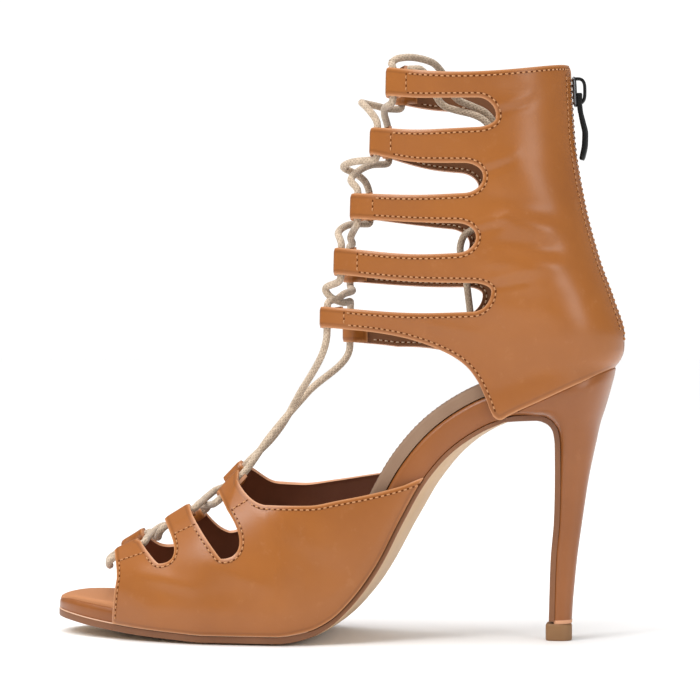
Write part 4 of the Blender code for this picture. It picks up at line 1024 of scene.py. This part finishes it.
def slotLineX(z, side):
    # line through the closed ends of the slots
    lowX, lowZ, highX, highZ = slotLineEnds
    return smooth(np.concatenate([[lowZ], slots["endZ"], [highZ]]),
                  np.concatenate([[lowX], slotEnds(side), [highX]]), z)


def slotHeight(k, x, high, side):
    # both edges meet at the slot's end on a quarter circle
    end = slotEnds(side)[k]
    knots = np.array([strapFront["lateral"][k], upper["slotMidX"], end])
    name, toward = ("High", -0.6) if high else ("Low", 0.6)
    target = smooth(knots, np.array([slots["front" + name][k], slots["mid" + name][k],
                                     slots["mid" + name][k] + toward]), x)
    forward = np.clip((upper["dropFrom"] - x) / upper["slotDropOver"], 0, 1)
    if side == "medial" and k == 0 and not high:
        target = target - upper["medialDrop"] * forward
    if side == "medial" and high:
        target = target + medialHigher[k] * forward
    closing = np.sqrt(np.clip(1 - np.clip(1 - (end - x) / upper["slotRound"], 0, 1) ** 2, 0, 1))
    return slots["endZ"][k] + (target - slots["endZ"][k]) * closing


def zipOpening(z):
    # half width of the opening at the back, closing at its lower end
    return upper["zipHalf"] * np.clip((z - upper["zipFoot"]) / upper["zipFootLength"], 0, 1)


def counterX(part, z, side):
    # columns turn evenly round the heel, from the zip to the slot ends
    length = ankleAt("round", z)
    widest = ankleAt("back", z) - length
    end = (slotLineX(z, side) - widest) / length
    endTurn = np.where(end > 0, np.arccos(np.clip(end, 0, 1)), math.pi / 2 - end)
    startTurn = np.arcsin((zipOpening(z) / ankleAt("half", z)) ** (1 / upper["plan"]))
    angle = startTurn + part * (endTurn - startTurn)
    return widest + length * np.where(angle < math.pi / 2, np.cos(angle), math.pi / 2 - angle)


def meetingHeight(columnX, edgeHeight, low, high):
    # height at which each column crosses an edge, found by halving the span between two heights forty times
    for _ in range(40):
        middle = (low + high) / 2
        above = middle > edgeHeight(columnX(middle))
        low, high = np.where(above, low, middle), np.where(above, middle, high)
    return high


counterRows = (26, 18, 18, 18, 18)      # rows from the arch up to the collar, one count per strap


def counterLevels(side):
    # rows of the counter between its lower edge, the slot ends and the collar
    parts = np.linspace(0, 1, 66)
    arch = meetingHeight(lambda z: counterX(parts, z, side), lambda x: archHeight(x, side),
                         np.full_like(parts, 80.0), np.full_like(parts, 125.0))
    top = collarHeight(counterX(parts, np.full_like(parts, 214.0), side))
    levels = [arch, *(np.full_like(arch, z) for z in slots["endZ"]), top]
    bands = [np.linspace(low, high, count, endpoint=False)
             for low, high, count in zip(levels[:-1], levels[1:], counterRows)]
    z = np.concatenate([*bands, top[None]])
    x = counterX(parts[None, :], z, side)
    return x, z


def strapEdge(side, k, x, high):
    # one edge of a strap: the arch or the collar on the outermost ones, an edge of a slot on the others
    if high:
        return collarHeight(x) if k == 4 else slotHeight(k, x, False, side)
    return archHeight(x, side) if k == 0 else slotHeight(k - 1, x, True, side)


def strapFlat(side, k, startZ, along):
    # columns pass evenly from the line of the slot ends to the fold, each from edge to edge of the strap
    front = strapFront[side][k] + upper["loopRadius"]
    bottom = np.full_like(along, 80.0 if k == 0 else slots["endZ"][k - 1])
    top = np.full_like(along, 230.0 if k == 4 else slots["endZ"][k])

    def columnX(z):
        # straight in plan from the slot ends to the fold
        return slotLineX(z, side) * (1 - along) + front * along

    lowZ = meetingHeight(columnX, lambda x: strapEdge(side, k, x, False), bottom, top)
    highZ = meetingHeight(columnX, lambda x: strapEdge(side, k, x, True), bottom, top)
    lowZ[along == 0], highZ[along == 0] = startZ[0], startZ[-1]
    z = lowZ + np.linspace(0, 1, len(startZ))[:, None] * (highZ - lowZ)
    return join(columnX(z), z)


foldFrom = 0.864      # share of a strap's length where its fold takes its direction
strapColumns = np.concatenate([0.084 * np.linspace(0, 1, 12) ** 2,      # close together by the slot ends
                               0.084 + 0.916 * np.linspace(0, 1, 46)[1:]])


def makeQuarter():
    # on each side the counter turns round the heel, and the straps and loops go on from its last column
    sheets = []
    for side in sideSign:
        flip = side == "lateral"
        x, z = counterLevels(side)
        grid = raised(lift(join(x, z), ankleHalf, side), counterCreases, flip)
        sheets.append((grid, flip))
        row = 0
        for k, count in enumerate(counterRows):
            startZ = z[row:row + count + 1, -1]
            strap = lift(strapFlat(side, k, startZ, strapColumns), ankleHalf, side)
            strap = raised(strap, counterCreases, not flip)
            strap[:, 0] = grid[row:row + count + 1, -1]
            ends = lift(strapFlat(side, k, startZ, np.array([0.0, foldFrom, 1.0])), ankleHalf, side)
            sheets.append((strap, flip))
            loopRows, loops[side, k + 3] = laceLoop(ends[:, 2], ends[:, 1], upper["strapFlap"])
            loopRows[0] = strap[:, -1]
            sheets.append((loopRows, not flip))
            row += count
    return shell("quarter", sheets, "lining", "upper_leather", "quarter")


for name in sideSign:
    makeVamp(name)
makeQuarter()
print("upper made")

# the lace: through the tabs and straps in turn, crossing between each pair
lace = {"diameter": 2.8, "around": 20, "step": 0.4, "relief": 0.05, "strands": 6, "pitch": 1.61, "taper": 1.2}
crossings = (
    (((-42.6, -6.0, 38.6), (-40.6, 7.0, 41.0)), ((-46.0, 7.0, 37.6), (-40.0, -6.0, 37.4))),
    (((-22.0, -6.0, 51.8), (-20.0, 6.0, 55.0)), ((-25.0, 6.0, 49.0), (-18.4, -7.0, 50.4))),
    (((4.6, -8.0, 76.5), (17.5, 3.0, 93.5)), ((3.0, 6.5, 75.8), (15.0, -4.0, 92.0))),
    (((31.2, -6.5, 129.8), (32.6, -1.4, 131.6), (34.4, 8.0, 133.0)),
     ((33.6, 7.0, 128.9), (32.6, -2.4, 128.2), (29.2, -9.8, 129.8), (26.4, -9.6, 133.2))),
    (((31.4, -8.5, 154.6), (33.6, 0.5, 158.0), (36.2, 8.4, 159.0)),
     ((34.6, 6.5, 151.2), (35.2, -2.0, 153.0), (38.0, -9.0, 156.4))),
    (((36.6, -11.0, 174.6), (38.0, -5.5, 177.8), (42.0, 4.0, 181.4)),
     ((39.6, 8.5, 174.8), (37.2, 1.5, 177.6), (32.8, -5.0, 180.0), (37.6, -10.5, 181.6))),
    (((44.0, -11.0, 200.8), (40.0, -6.0, 204.6), (45.0, 3.5, 204.0), (47.8, 9.8, 203.7)),
     ((47.6, 5.0, 199.8), (48.6, -4.0, 202.0))),
)
toeBar = ((-62.6, 9.0, 28.0), (-59.4, -4.0, 26.2))
endRoutes = {
    "laceEndLong": ((52.6, -13.6, 218.6), (54.8, -11.6, 220.4), (60.0, -6.0, 221.4), (66.0, 1.0, 220.4),
                    (70.2, 9.0, 215.8), (72.0, 14.8, 210.6), (74.5, 18.6, 207.6), (79.5, 21.4, 205.4),
                    (84.5, 22.8, 203.0), (88.0, 23.4, 198.6), (89.8, 23.8, 189.0), (88.8, 24.2, 176.0),
                    (84.6, 24.4, 163.5), (79.6, 24.2, 157.4), (76.0, 24.0, 154.6), (74.6, 24.2, 149.6),
                    (76.4, 24.6, 142.0), (77.4, 24.8, 134.0), (78.6, 25.0, 124.0)),
    "laceEndShort": ((53.4, 13.6, 218.2), (55.4, 12.8, 219.3), (59.4, 13.2, 219.4), (63.0, 15.6, 216.2),
                     (65.2, 18.0, 210.4), (68.6, 19.6, 205.6), (74.0, 20.6, 203.6), (79.5, 20.6, 202.2),
                     (84.5, 20.4, 199.6), (88.4, 20.0, 194.0), (90.2, 19.8, 186.0), (90.6, 19.6, 177.0)),
}


def cordMesh(name, path, endsRound=(True, True)):
    # circles square to the path that swell with the plait; the map runs round and along in millimetres
    n, around = len(path), lace["around"]
    tangent = unit(np.gradient(path, axis=0))
    side = unit(np.cross(tangent, np.array([1.0, 0.0, 0.0])))
    other = np.cross(tangent, side)
    run = runLength(path)
    u = np.arange(around) / around
    first = lace["strands"] * u[None, :] + run[:, None] / lace["pitch"]
    second = lace["strands"] * u[None, :] - run[:, None] / lace["pitch"]
    plait = np.maximum(np.abs(np.sin(math.pi * first)), np.abs(np.sin(math.pi * second)))
    radius = lace["diameter"] / 2 * (1 - lace["relief"] * (1 - plait))
    fromFirst = np.where(endsRound[0], run, lace["taper"])
    fromLast = np.where(endsRound[1], run[-1] - run, lace["taper"])
    taper = np.sqrt(1 - np.clip(1 - np.minimum(fromFirst, fromLast) / lace["taper"], 0, 0.96) ** 2)
    radius = radius * taper[:, None]
    angle = 2 * math.pi * u
    points = path[:, None] + radius[..., None] * (np.cos(angle)[None, :, None] * side[:, None]
                                                  + np.sin(angle)[None, :, None] * other[:, None])
    faces = gridFaces(n, around, closed=True)
    i = np.repeat(np.arange(n - 1), around)
    j = np.tile(np.arange(around), n - 1)
    uv = np.stack([join((j + b) / around, run[i + a])
                   for a, b in ((0, 0), (0, 1), (1, 1), (1, 0))], axis=1)
    caps = [list(range(around))[::-1], list(range((n - 1) * around, n * around))]
    capUv = np.zeros((2 * around, 2))
    return meshFrom(name, points, faces.tolist() + caps, (finishes["lace"],), sharp=75,
                    uv=np.concatenate([uv.reshape(-1, 2), capUv]))


def leaving(key, end):
    # two places just outside a loop, out along its axis; the loops of the vamp stand further off
    reach = 0.8 if key[1] < 3 else 0.35
    way = unit(loops[key][end] - loops[key][1 - end])
    return loops[key][end] + way * reach, loops[key][end] + way * (reach + 1.1)


def strandBetween(low, route, high):
    # from the upper mouth of one loop, by way of its route, to the lower mouth of the next
    start, out = leaving(low, 1)
    end, back = leaving(high, 0)
    return through([start, out, *route, back, end], 0.5)


def halfLace(firstSide):
    # from the tab nearest the toe up to the highest loop, changing sides at each crossing
    side, points = firstSide, []
    for i in range(len(crossings)):
        points.append(np.linspace(*loops[side, i], 8))
        other = "medial" if side == "lateral" else "lateral"
        points.append(strandBetween((side, i), crossings[i][0 if side == "lateral" else 1], (other, i + 1)))
        side = other
    points.append(np.linspace(*loops[side, 7], 8))
    return np.concatenate(points), side


up, upSide = halfLace("lateral")
down, downSide = halfLace("medial")
tips = {"lateral": endRoutes["laceEndLong"][0], "medial": endRoutes["laceEndShort"][0]}
up = np.vstack([up, tips[upSide]])
down = np.vstack([down, tips[downSide]])
toeStart, toeOut = leaving(("medial", 0), 0)
toeEnd, toeBack = leaving(("lateral", 0), 0)
bar = through([toeStart, toeOut, *toeBar, toeBack, toeEnd], 0.5)
whole = resample(np.concatenate([down[::-1], bar, up]), lace["step"])
whole = relax(whole, lace["step"], 0.9)
laceBody = cordMesh("lace", whole, (False, False))
place(laceBody, "lace_cotton", "lace_toe_bar", *("lace_cross_%d" % i for i in range(1, 8)))

for name, node in (("laceEndLong", "lace_end_long"), ("laceEndShort", "lace_end_short")):
    path = through(endRoutes[name], lace["step"])
    tail = cordMesh(name, path, (False, True))
    place(tail, "lace_cotton", node)
print("lace made")

# sewing: stitches lie along lines set in from the cut edges
archBend, archTip = 79.0, 92.6      # x where the quarter's arch turns down, and where its stitches end
stitch = {"inset": 1.7, "pitch": 2.2, "length": 1.45, "radius": 0.26, "raise": 0.04, "hole": 0.39,
          "slit": 1.7, "arc": 0.16, "dive": 0.32, "zipRows": ((1.7, 113.0), (6.8, 116.0)), "medialSink": 0.05,
          "sockInset": 3.4, "sockSink": 0.25, "sockFrom": -44.0}
threadRows = {"thread": [], "threadInner": [], "threadDark": []}


def insetLine(flat, halfAt, side, distance, lines, hand=1.0):
    # the edge moved along the surface, square to itself, to the right of its run (to the left with hand -1)
    edge = lift(flat, halfAt, side)
    normal = outNormal(flat, halfAt, side)
    inward = np.cross(normal, unit(np.gradient(edge, axis=0))) * hand * sideSign[side]
    moved = edge + distance * inward
    back = moved[:, [0, 2]]
    normal = outNormal(back, halfAt, side)
    return lift(back, halfAt, side) + normal * troughs(back[:, 0], back[:, 1], lines)[:, None], normal


def sew(points, normals, kind="thread", startOff=0.0, endOff=0.0):
    # even places along a line, with the surface normal there
    run = runLength(points)
    free = run[-1] - startOff - endOff
    count = int(free / stitch["pitch"])
    if count < 1:
        return
    first = startOff + (free - count * stitch["pitch"]) / 2
    at = first + stitch["pitch"] * (np.arange(count) + 0.5)
    ahead = readAt(at + 0.4, run, points) - readAt(at - 0.4, run, points)
    threadRows[kind].append(np.hstack([readAt(at, run, points), unit(readAt(at, run, normals)), unit(ahead)]))


# where the row across each tab meets its left and right edges, as shares of their length
foldAt = {"lateral": ((0.55, 0.50), (0.75, 0.65), (0.80, 0.40)),
          "medial": ((0.55, 0.60), (0.70, 0.70), (0.80, 0.50))}


def sewVamp(side):
    # rows inside the front, the gaps between the tabs and the top line, and one across each tab
    part = np.linspace(0, 1, 40)
    left = [tabEdge(k, side, "left", part * foldAt[side][k][0]) for k in range(3)]
    right = [tabEdge(k, side, "right", part * foldAt[side][k][1]) for k in range(3)]
    stations = np.linspace(3, 8, 120)
    rise = np.linspace(0.06, 1, 40)[:, None]
    footX = vampEdge[side]["foot"][0]
    foot = np.array([footX, np.interp(footX, sole["x"], sole["z"]) + gap])
    front = foot + rise * (vampTop(side, np.zeros(1)) - foot)
    edges = [np.vstack([front, left[0][1:]])]
    for k in range(2):
        edges.append(np.vstack([right[k][::-1], left[k + 1][1:]]))
    edges.append(np.vstack([right[2][::-1], vampTop(side, stations)[1:]]))
    for flat in edges:
        flat = resample(flat, 0.5)
        points, normals = insetLine(flat, lastHalf, side, stitch["inset"], vampCreases)
        points = relax(points, 0.5, 1.0)
        sew(points, normals, endOff=2.0 if flat[-1, 0] > 60 else 0.3, startOff=1.0)
    for k in range(3):
        flat = left[k][-1] + part[:, None] * (right[k][-1] - left[k][-1])
        sew(lift(flat, lastHalf, side), outNormal(flat, lastHalf, side), startOff=1.0, endOff=1.0)


def sewThrough(points, normals, **off):
    # the same row on both faces of the leather
    sew(points, normals, **off)
    sew(points - (upper["wall"] + 0.02) * normals, -normals, "threadInner", **off)


foldStitch = (11.4, 11.4, 11.0, 10.6, 10.4)      # from the front of each strap back to the row across it


def sewQuarter(side):
    # rows round each slot, along the arch and the collar, across each strap, and two beside the zip
    fronts = [strapFront[side][k] + foldStitch[k] for k in range(5)]
    for k in range(4):
        end = slotEnds(side)[k]
        turnBack = end - upper["slotRound"] * (1 - np.cos(np.linspace(0, math.pi / 2, 24)))
        low = np.concatenate([np.linspace(fronts[k], turnBack[-1], 60, endpoint=False), turnBack[::-1]])
        high = np.concatenate([turnBack, np.linspace(turnBack[-1], fronts[k + 1], 60)[1:]])
        flat = np.concatenate([join(low, slotHeight(k, low, False, side)),
                               join(high, slotHeight(k, high, True, side))[1:]])
        flat = resample(flat, 0.4)
        points, normals = insetLine(flat, ankleHalf, side, stitch["inset"], counterCreases)
        sewThrough(relax(points, 0.4, 0.7), normals)
    x = np.linspace(fronts[0], archBend, 70)
    arch = join(x, archHeight(x, side))
    x = np.concatenate([np.linspace(archBend, archTip - 0.6, 40)[1:], [archTip]])
    arch = resample(np.concatenate([arch, join(x, archHeight(x, side))]), 0.5)
    points, normals = insetLine(arch, ankleHalf, side, stitch["inset"], counterCreases, -1.0)
    sewThrough(relax(points, 0.5, 0.8), normals, endOff=0.6)
    last = backX(upper["zipHalf"] + 2 * stitch["inset"], 216.0)
    x = last - (last - fronts[4]) * np.linspace(1, 0, 160) ** 2
    top = join(x, collarHeight(x))
    points, normals = insetLine(top, ankleHalf, side, stitch["inset"], counterCreases)
    sewThrough(points, normals)
    for k in range(5):
        low, high = (float(strapEdge(side, k, np.array([fronts[k]]), edge)[0]) for edge in (False, True))
        z = np.linspace(low + stitch["inset"], high - stitch["inset"], 24)
        flat = join(fronts[k], z)
        sew(lift(flat, ankleHalf, side), outNormal(flat, ankleHalf, side))
    for inset, bottom in stitch["zipRows"]:
        zipRow(side, upper["zipHalf"] + inset, np.linspace(bottom, 214.0, 240))


def backX(y, z):
    # the plan outline solved for x at a given half width, behind the widest line
    length = ankleAt("round", z)
    share = (np.abs(y) / ankleAt("half", z)) ** (2 / upper["plan"])
    return ankleAt("back", z) - length + length * np.sqrt(1 - share)


def zipRow(side, y, z):
    # a row that goes up the back at an even distance from the zip
    x = backX(y, z)
    points = join(x, sideSign[side] * y, z)
    along = unit(np.gradient(points, axis=0))
    wider = join(backX(y + 0.2, z), sideSign[side] * (y + 0.2), z)
    normal = unit(np.cross(along, wider - points))
    normal = normal * np.sign(normal[:, 0:1])
    sink = stitch["medialSink"] if side == "medial" else 0.0
    sew(points + normal * (troughs(x, z, counterCreases) - sink)[:, None], normal)


def makeStitches(kind, slotName):
    # each stitch is a six-sided thread that rises out of one hole and dives into the next; each hole is a
    # dark disc of painted shade
    t = np.linspace(-1, 1, 7)[:, None]
    a = circle(6)[None]
    height = stitch["raise"] + stitch["arc"] * (1 - t ** 2) - stitch["dive"] * np.abs(t) ** 4
    radius = stitch["radius"] * (1 - 0.35 * t ** 4)
    threadShape = join(t * stitch["length"] / 2, radius * np.cos(a), height + 0.8 * radius * np.sin(a))
    rows = np.concatenate(threadRows[kind])
    origin, normal, ahead = rows[:, :3], rows[:, 3:6], rows[:, 6:]
    side = np.cross(normal, ahead)
    points, faces = copies((origin, ahead, side, normal), threadShape)
    place(meshFrom(kind + "Stitches", points, faces, (finishes[kind],), outward=True), slotName)
    # painted shade: a dark slanted disc on the surface at each needle hole
    ring = circle(8)
    wide, deep = stitch["slit"] * stitch["hole"] * np.cos(ring), stitch["hole"] * np.sin(ring)
    pit = np.stack([join(share * wide, share * deep, level)
                    for share, level in ((1.0, -0.1), (0.75, 0.06))])
    points, faces = copies((origin + ahead * stitch["pitch"] / 2, ahead, side, normal), pit)
    place(meshFrom(kind + "HoleShades", points, faces, (finishes["hole"],), outward=True), slotName)
    print(kind, "stitches", len(rows))


def sewSock():
    # a row round the top of the padded sock, a little in from its edge
    reach = (sockLine["medial"] + sockLine["lateral"]) / 2 - sockInset
    half = reach - stitch["sockInset"]
    keep = (half > 4) & (sockLine["x"] > stitch["sockFrom"])
    middle = (sockLine["medial"] - sockLine["lateral"]) / 2
    dome = np.clip(1 - (half / np.maximum(reach - 1.5, 1)) ** 2, 0, 1) ** 0.6
    high = sockLow + sockLine["sock"] + platform["crown"] * dome - stitch["sockSink"]
    lean = sockLine["lean"]
    upward = join(lean, 0.0, np.sqrt(1 - lean ** 2))
    for sign in (-1.0, 1.0):
        foot = join(sockLine["x"], middle + sign * half, sockLine["z"])
        sew((foot + high[:, None] * upward)[keep], upward[keep], "threadDark")


for name in sideSign:
    sewVamp(name)
    sewQuarter(name)
sewSock()
makeStitches("thread", "upper_leather")
makeStitches("threadInner", "upper_leather")
makeStitches("threadDark", "sock_fabric")
print("sewing made")

# the zip: everything follows the back line of the ankle
zipShape = {"tapeHalf": 9.6, "tapeIn": 0.75, "tapeThick": 0.9, "tapeEnds": (111.5, 214.0),
            "teethEnds": (113.5, 212.5), "pitch": 2.1, "teethIn": 0.8, "hingeZ": 206.8, "hingeOut": 2.75}


def makeTape():
    # tape that follows the back of the ankle just inside the leather
    z = np.linspace(*zipShape["tapeEnds"], 90)[:, None]
    y = np.linspace(-zipShape["tapeHalf"], zipShape["tapeHalf"], 25)[None, :]
    x = backX(y, z) - upper["wall"] - zipShape["tapeIn"]
    outer = join(x, y, z)
    inner = outer - np.array([zipShape["tapeThick"], 0.0, 0.0])
    rings = np.concatenate([outer, inner[:, ::-1]], axis=1)
    lofted("zipTape", rings, "tape", "zip_tape_cloth", "zip_tape", sharp=40)


def makeTeeth():
    # rounded teeth that point in from both tapes by turns, tilted with the back line
    z = np.arange(*zipShape["teethEnds"], zipShape["pitch"])
    z = np.concatenate([z, z[:-1] + zipShape["pitch"] / 2])
    sign = np.concatenate([np.ones(len(z) - len(z) // 2), -np.ones(len(z) // 2)])
    back = ankleAt("back", z)
    slope = (ankleAt("back", z + 1) - ankleAt("back", z - 1)) / 2
    upward = unit(join(slope, 0.0, 1.0))
    side = join(0.0, sign, 0.0)
    out = np.cross(side, upward) * sign[:, None]
    origin = join(back - zipShape["teethIn"], 0.0, z)
    a = circle(8)
    depth = np.array([-0.55, -0.4, 0.0, 0.4, 0.55])[:, None]
    grow = np.array([0.75, 0.95, 1.0, 0.95, 0.75])[:, None]
    middle = 0.65      # each tooth reaches a little past the centre line
    tooth = join(depth, grow * 1.25 * signedPower(np.cos(a), 0.5) + middle,
                 grow * 0.48 * signedPower(np.sin(a), 0.6))
    points, faces = copies((origin, out, side, upward), tooth)
    piece = meshFrom("zipTeeth", points, faces, (finishes["steel"],), outward=True)
    place(piece, "zip_metal", "zip_teeth")


def stripRings(centre, out, halfWidth, halfThick):
    # rounded oblong sections across the strip, one at each place along it; out is the way that its face looks
    a = circle(24)
    wide = halfWidth[:, None] * signedPower(np.cos(a), 0.5)
    thick = halfThick[:, None] * signedPower(np.sin(a), 0.5)
    return centre[:, None] + wide[..., None] * np.array([0.0, 1.0, 0.0]) + thick[..., None] * out[:, None]


def curveOf(knots, z):
    # one measure along the zip from a list of height and value
    heights, values = zip(*knots)
    return smooth(np.array(heights), np.array(values), z)


def outOf(centre):
    # square to the run of a strip that lies in the middle plane
    return np.cross(unit(np.gradient(centre, axis=0)), np.array([0.0, 1.0, 0.0]))


hinge = np.array([ankleAt("back", zipShape["hingeZ"]) + zipShape["hingeOut"], 0.0, zipShape["hingeZ"]])
slider = {
    "out": 1.05,
    "width": ((202.2, 1.8), (203.2, 2.9), (205.0, 3.3), (208.5, 3.9), (212.3, 3.8), (213.4, 2.6)),
    "thick": ((202.2, 0.4), (203.2, 0.72), (208.0, 0.76), (212.6, 0.7), (213.4, 0.4)),
}
bail = {"in": 1.3, "z": 208.1, "reach": 3.35, "rise": 4.7, "corner": 0.62, "width": 1.15, "thick": 0.62}
pull = {
    "bar": 0.42, "barHalf": 1.8, "arm": 1.7, "armWidth": 0.40, "armThick": 0.95, "armEnds": (199.6, 207.3),
    "lean": ((182.0, 0.9), (184.0, 1.4), (188.0, 2.1), (192.0, 2.2), (196.0, 1.4), (200.0, 0.5),
             (203.1, 0.1)),
    "width": ((182.0, 1.5), (182.4, 2.0), (184.0, 2.15), (192.0, 2.05), (199.8, 2.0), (200.4, 1.3)),
    "thick": ((182.0, 0.8), (182.4, 1.05), (186.0, 1.15), (194.0, 1.1), (198.4, 1.0), (200.4, 0.9)),
}


def makeSlider():
    # a plate with rounded ends on the teeth
    z = np.linspace(slider["width"][0][0], slider["width"][-1][0], 32)
    centre = join(ankleAt("back", z) + slider["out"], 0.0, z)
    rings = stripRings(centre, np.tile([1.0, 0.0, 0.0], (len(z), 1)), curveOf(slider["width"], z),
                       curveOf(slider["thick"], z))
    lofted("zipSlider", rings, "gunmetal", "zip_metal", "zip_slider", sharp=50)


def makeBail():
    # half a squared ring that stands on the plate
    angle = np.linspace(-0.10, math.pi + 0.10, 48)
    reach = join(bail["reach"] * signedPower(np.sin(angle), bail["corner"]), 0.0,
                 -bail["rise"] * signedPower(np.cos(angle), bail["corner"]))
    middle = np.array([hinge[0] - bail["in"], 0.0, bail["z"]])
    rings = stripRings(middle + reach, outOf(reach), np.full(48, bail["width"]), np.full(48, bail["thick"]))
    lofted("zipBail", rings, "black", "zip_metal", sharp=50)


def makePull():
    # a bent tab, two arms beside the ring and the bar between them, each a run of sections
    z = np.linspace(pull["width"][-1][0], pull["width"][0][0], 40)
    centre = join(hinge[0] + curveOf(pull["lean"], z), 0.0, z)
    runs = [stripRings(centre, outOf(centre), curveOf(pull["width"], z), curveOf(pull["thick"], z))]
    z = np.linspace(*pull["armEnds"], 16)
    for sign in (-1.0, 1.0):
        x = hinge[0] + curveOf(pull["lean"], z) - 0.05
        centre = join(x, pull["arm"] * sign, z)
        runs.append(stripRings(centre, np.tile([1.0, 0.0, 0.0], (len(z), 1)), pull["armWidth"] + 0 * z,
                               pull["armThick"] + 0 * z))
    y = np.linspace(-pull["barHalf"], pull["barHalf"], 12)[:, None]
    a = circle(16)[None]
    runs.append(join(hinge[0] + pull["bar"] * np.cos(a), y, hinge[2] + pull["bar"] * np.sin(a)))
    points, faces, start = [], [], 0
    for rings in runs:
        made = loft(rings, start)
        points.append(made[0])
        faces += made[1]
        start += len(made[0])
    piece = meshFrom("zipPull", np.vstack(points), faces, (finishes["black"],), outward=True, sharp=50)
    place(piece, "pull_metal", "zip_pull", body="zip_pull")


makeTape()
makeTeeth()
makeSlider()
makeBail()
makePull()
print("zip made")

# pale floor and soft studio light, in metres and watts
studio = {"floor": 30.0, "floorTone": 0.95, "world": 0.5, "mirrored": 0.28, "seen": 1.1, "sun": 2.35,
          "sunSpread": 50.0, "sunTilt": (10.0, -14.0), "key": 12.5, "fill": 7.5, "top": 7.0}
floorMesh = bpy.data.meshes.new("floor")
reach = studio["floor"]
floorMesh.from_pydata([(-reach, -reach, 0), (reach, -reach, 0), (reach, reach, 0), (-reach, reach, 0)],
                      [], [(0, 1, 2, 3)])
floorFinish, floorTree, floorShader = newFinish("paleFloor", 0.55, **{"Specular IOR Level": 0.3})
floorShader.inputs["Base Color"].default_value = (studio["floorTone"],) * 3 + (1.0,)
floorMesh.materials.append(floorFinish)
floor = bpy.data.objects.new("floor", floorMesh)
bpy.context.scene.collection.objects.link(floor)


def softLight(name, location, aim, size, power):
    # a round lamp of a given size, turned to look at a place
    data = bpy.data.lights.new(name, "AREA")
    data.shape = "DISK"
    data.size = size
    data.energy = power
    lamp = bpy.data.objects.new(name, data)
    lamp.location = location
    lamp.rotation_euler = (Vector(aim) - Vector(location)).to_track_quat("-Z", "Y").to_euler()
    bpy.context.scene.collection.objects.link(lamp)


softLight("key", (-1.0, -1.15, 1.35), (0.0, 0, 0.08), 0.7, studio["key"])
softLight("fill", (1.45, -1.15, 0.68), (0.10, 0, 0.14), 0.8, studio["fill"])
softLight("top", (0.1, 0.5, 1.9), (0.03, 0, 0.05), 1.6, studio["top"])
sunData = bpy.data.lights.new("sun", "SUN")
sunData.energy = studio["sun"]
sunData.angle = math.radians(studio["sunSpread"])
sun = bpy.data.objects.new("sun", sunData)
sun.rotation_euler = (*(math.radians(angle) for angle in studio["sunTilt"]), 0.0)
bpy.context.scene.collection.objects.link(sun)
world = bpy.data.worlds.new("studio")
world.use_nodes = True
sky = world.node_tree
sky.nodes["Background"].inputs[0].default_value = (1.0, 1.0, 1.0, 1.0)
paths = addNode(sky, "LightPath").outputs
glow = mapRange(sky, paths["Is Glossy Ray"], 0.0, 1.0, studio["world"], studio["mirrored"])
seen = maths(sky, "MULTIPLY", paths["Is Camera Ray"], studio["seen"] - studio["world"])
sky.links.new(maths(sky, "ADD", glow, seen), sky.nodes["Background"].inputs[1])
bpy.context.scene.world = world
bpy.context.scene.view_settings.view_transform = "Standard"
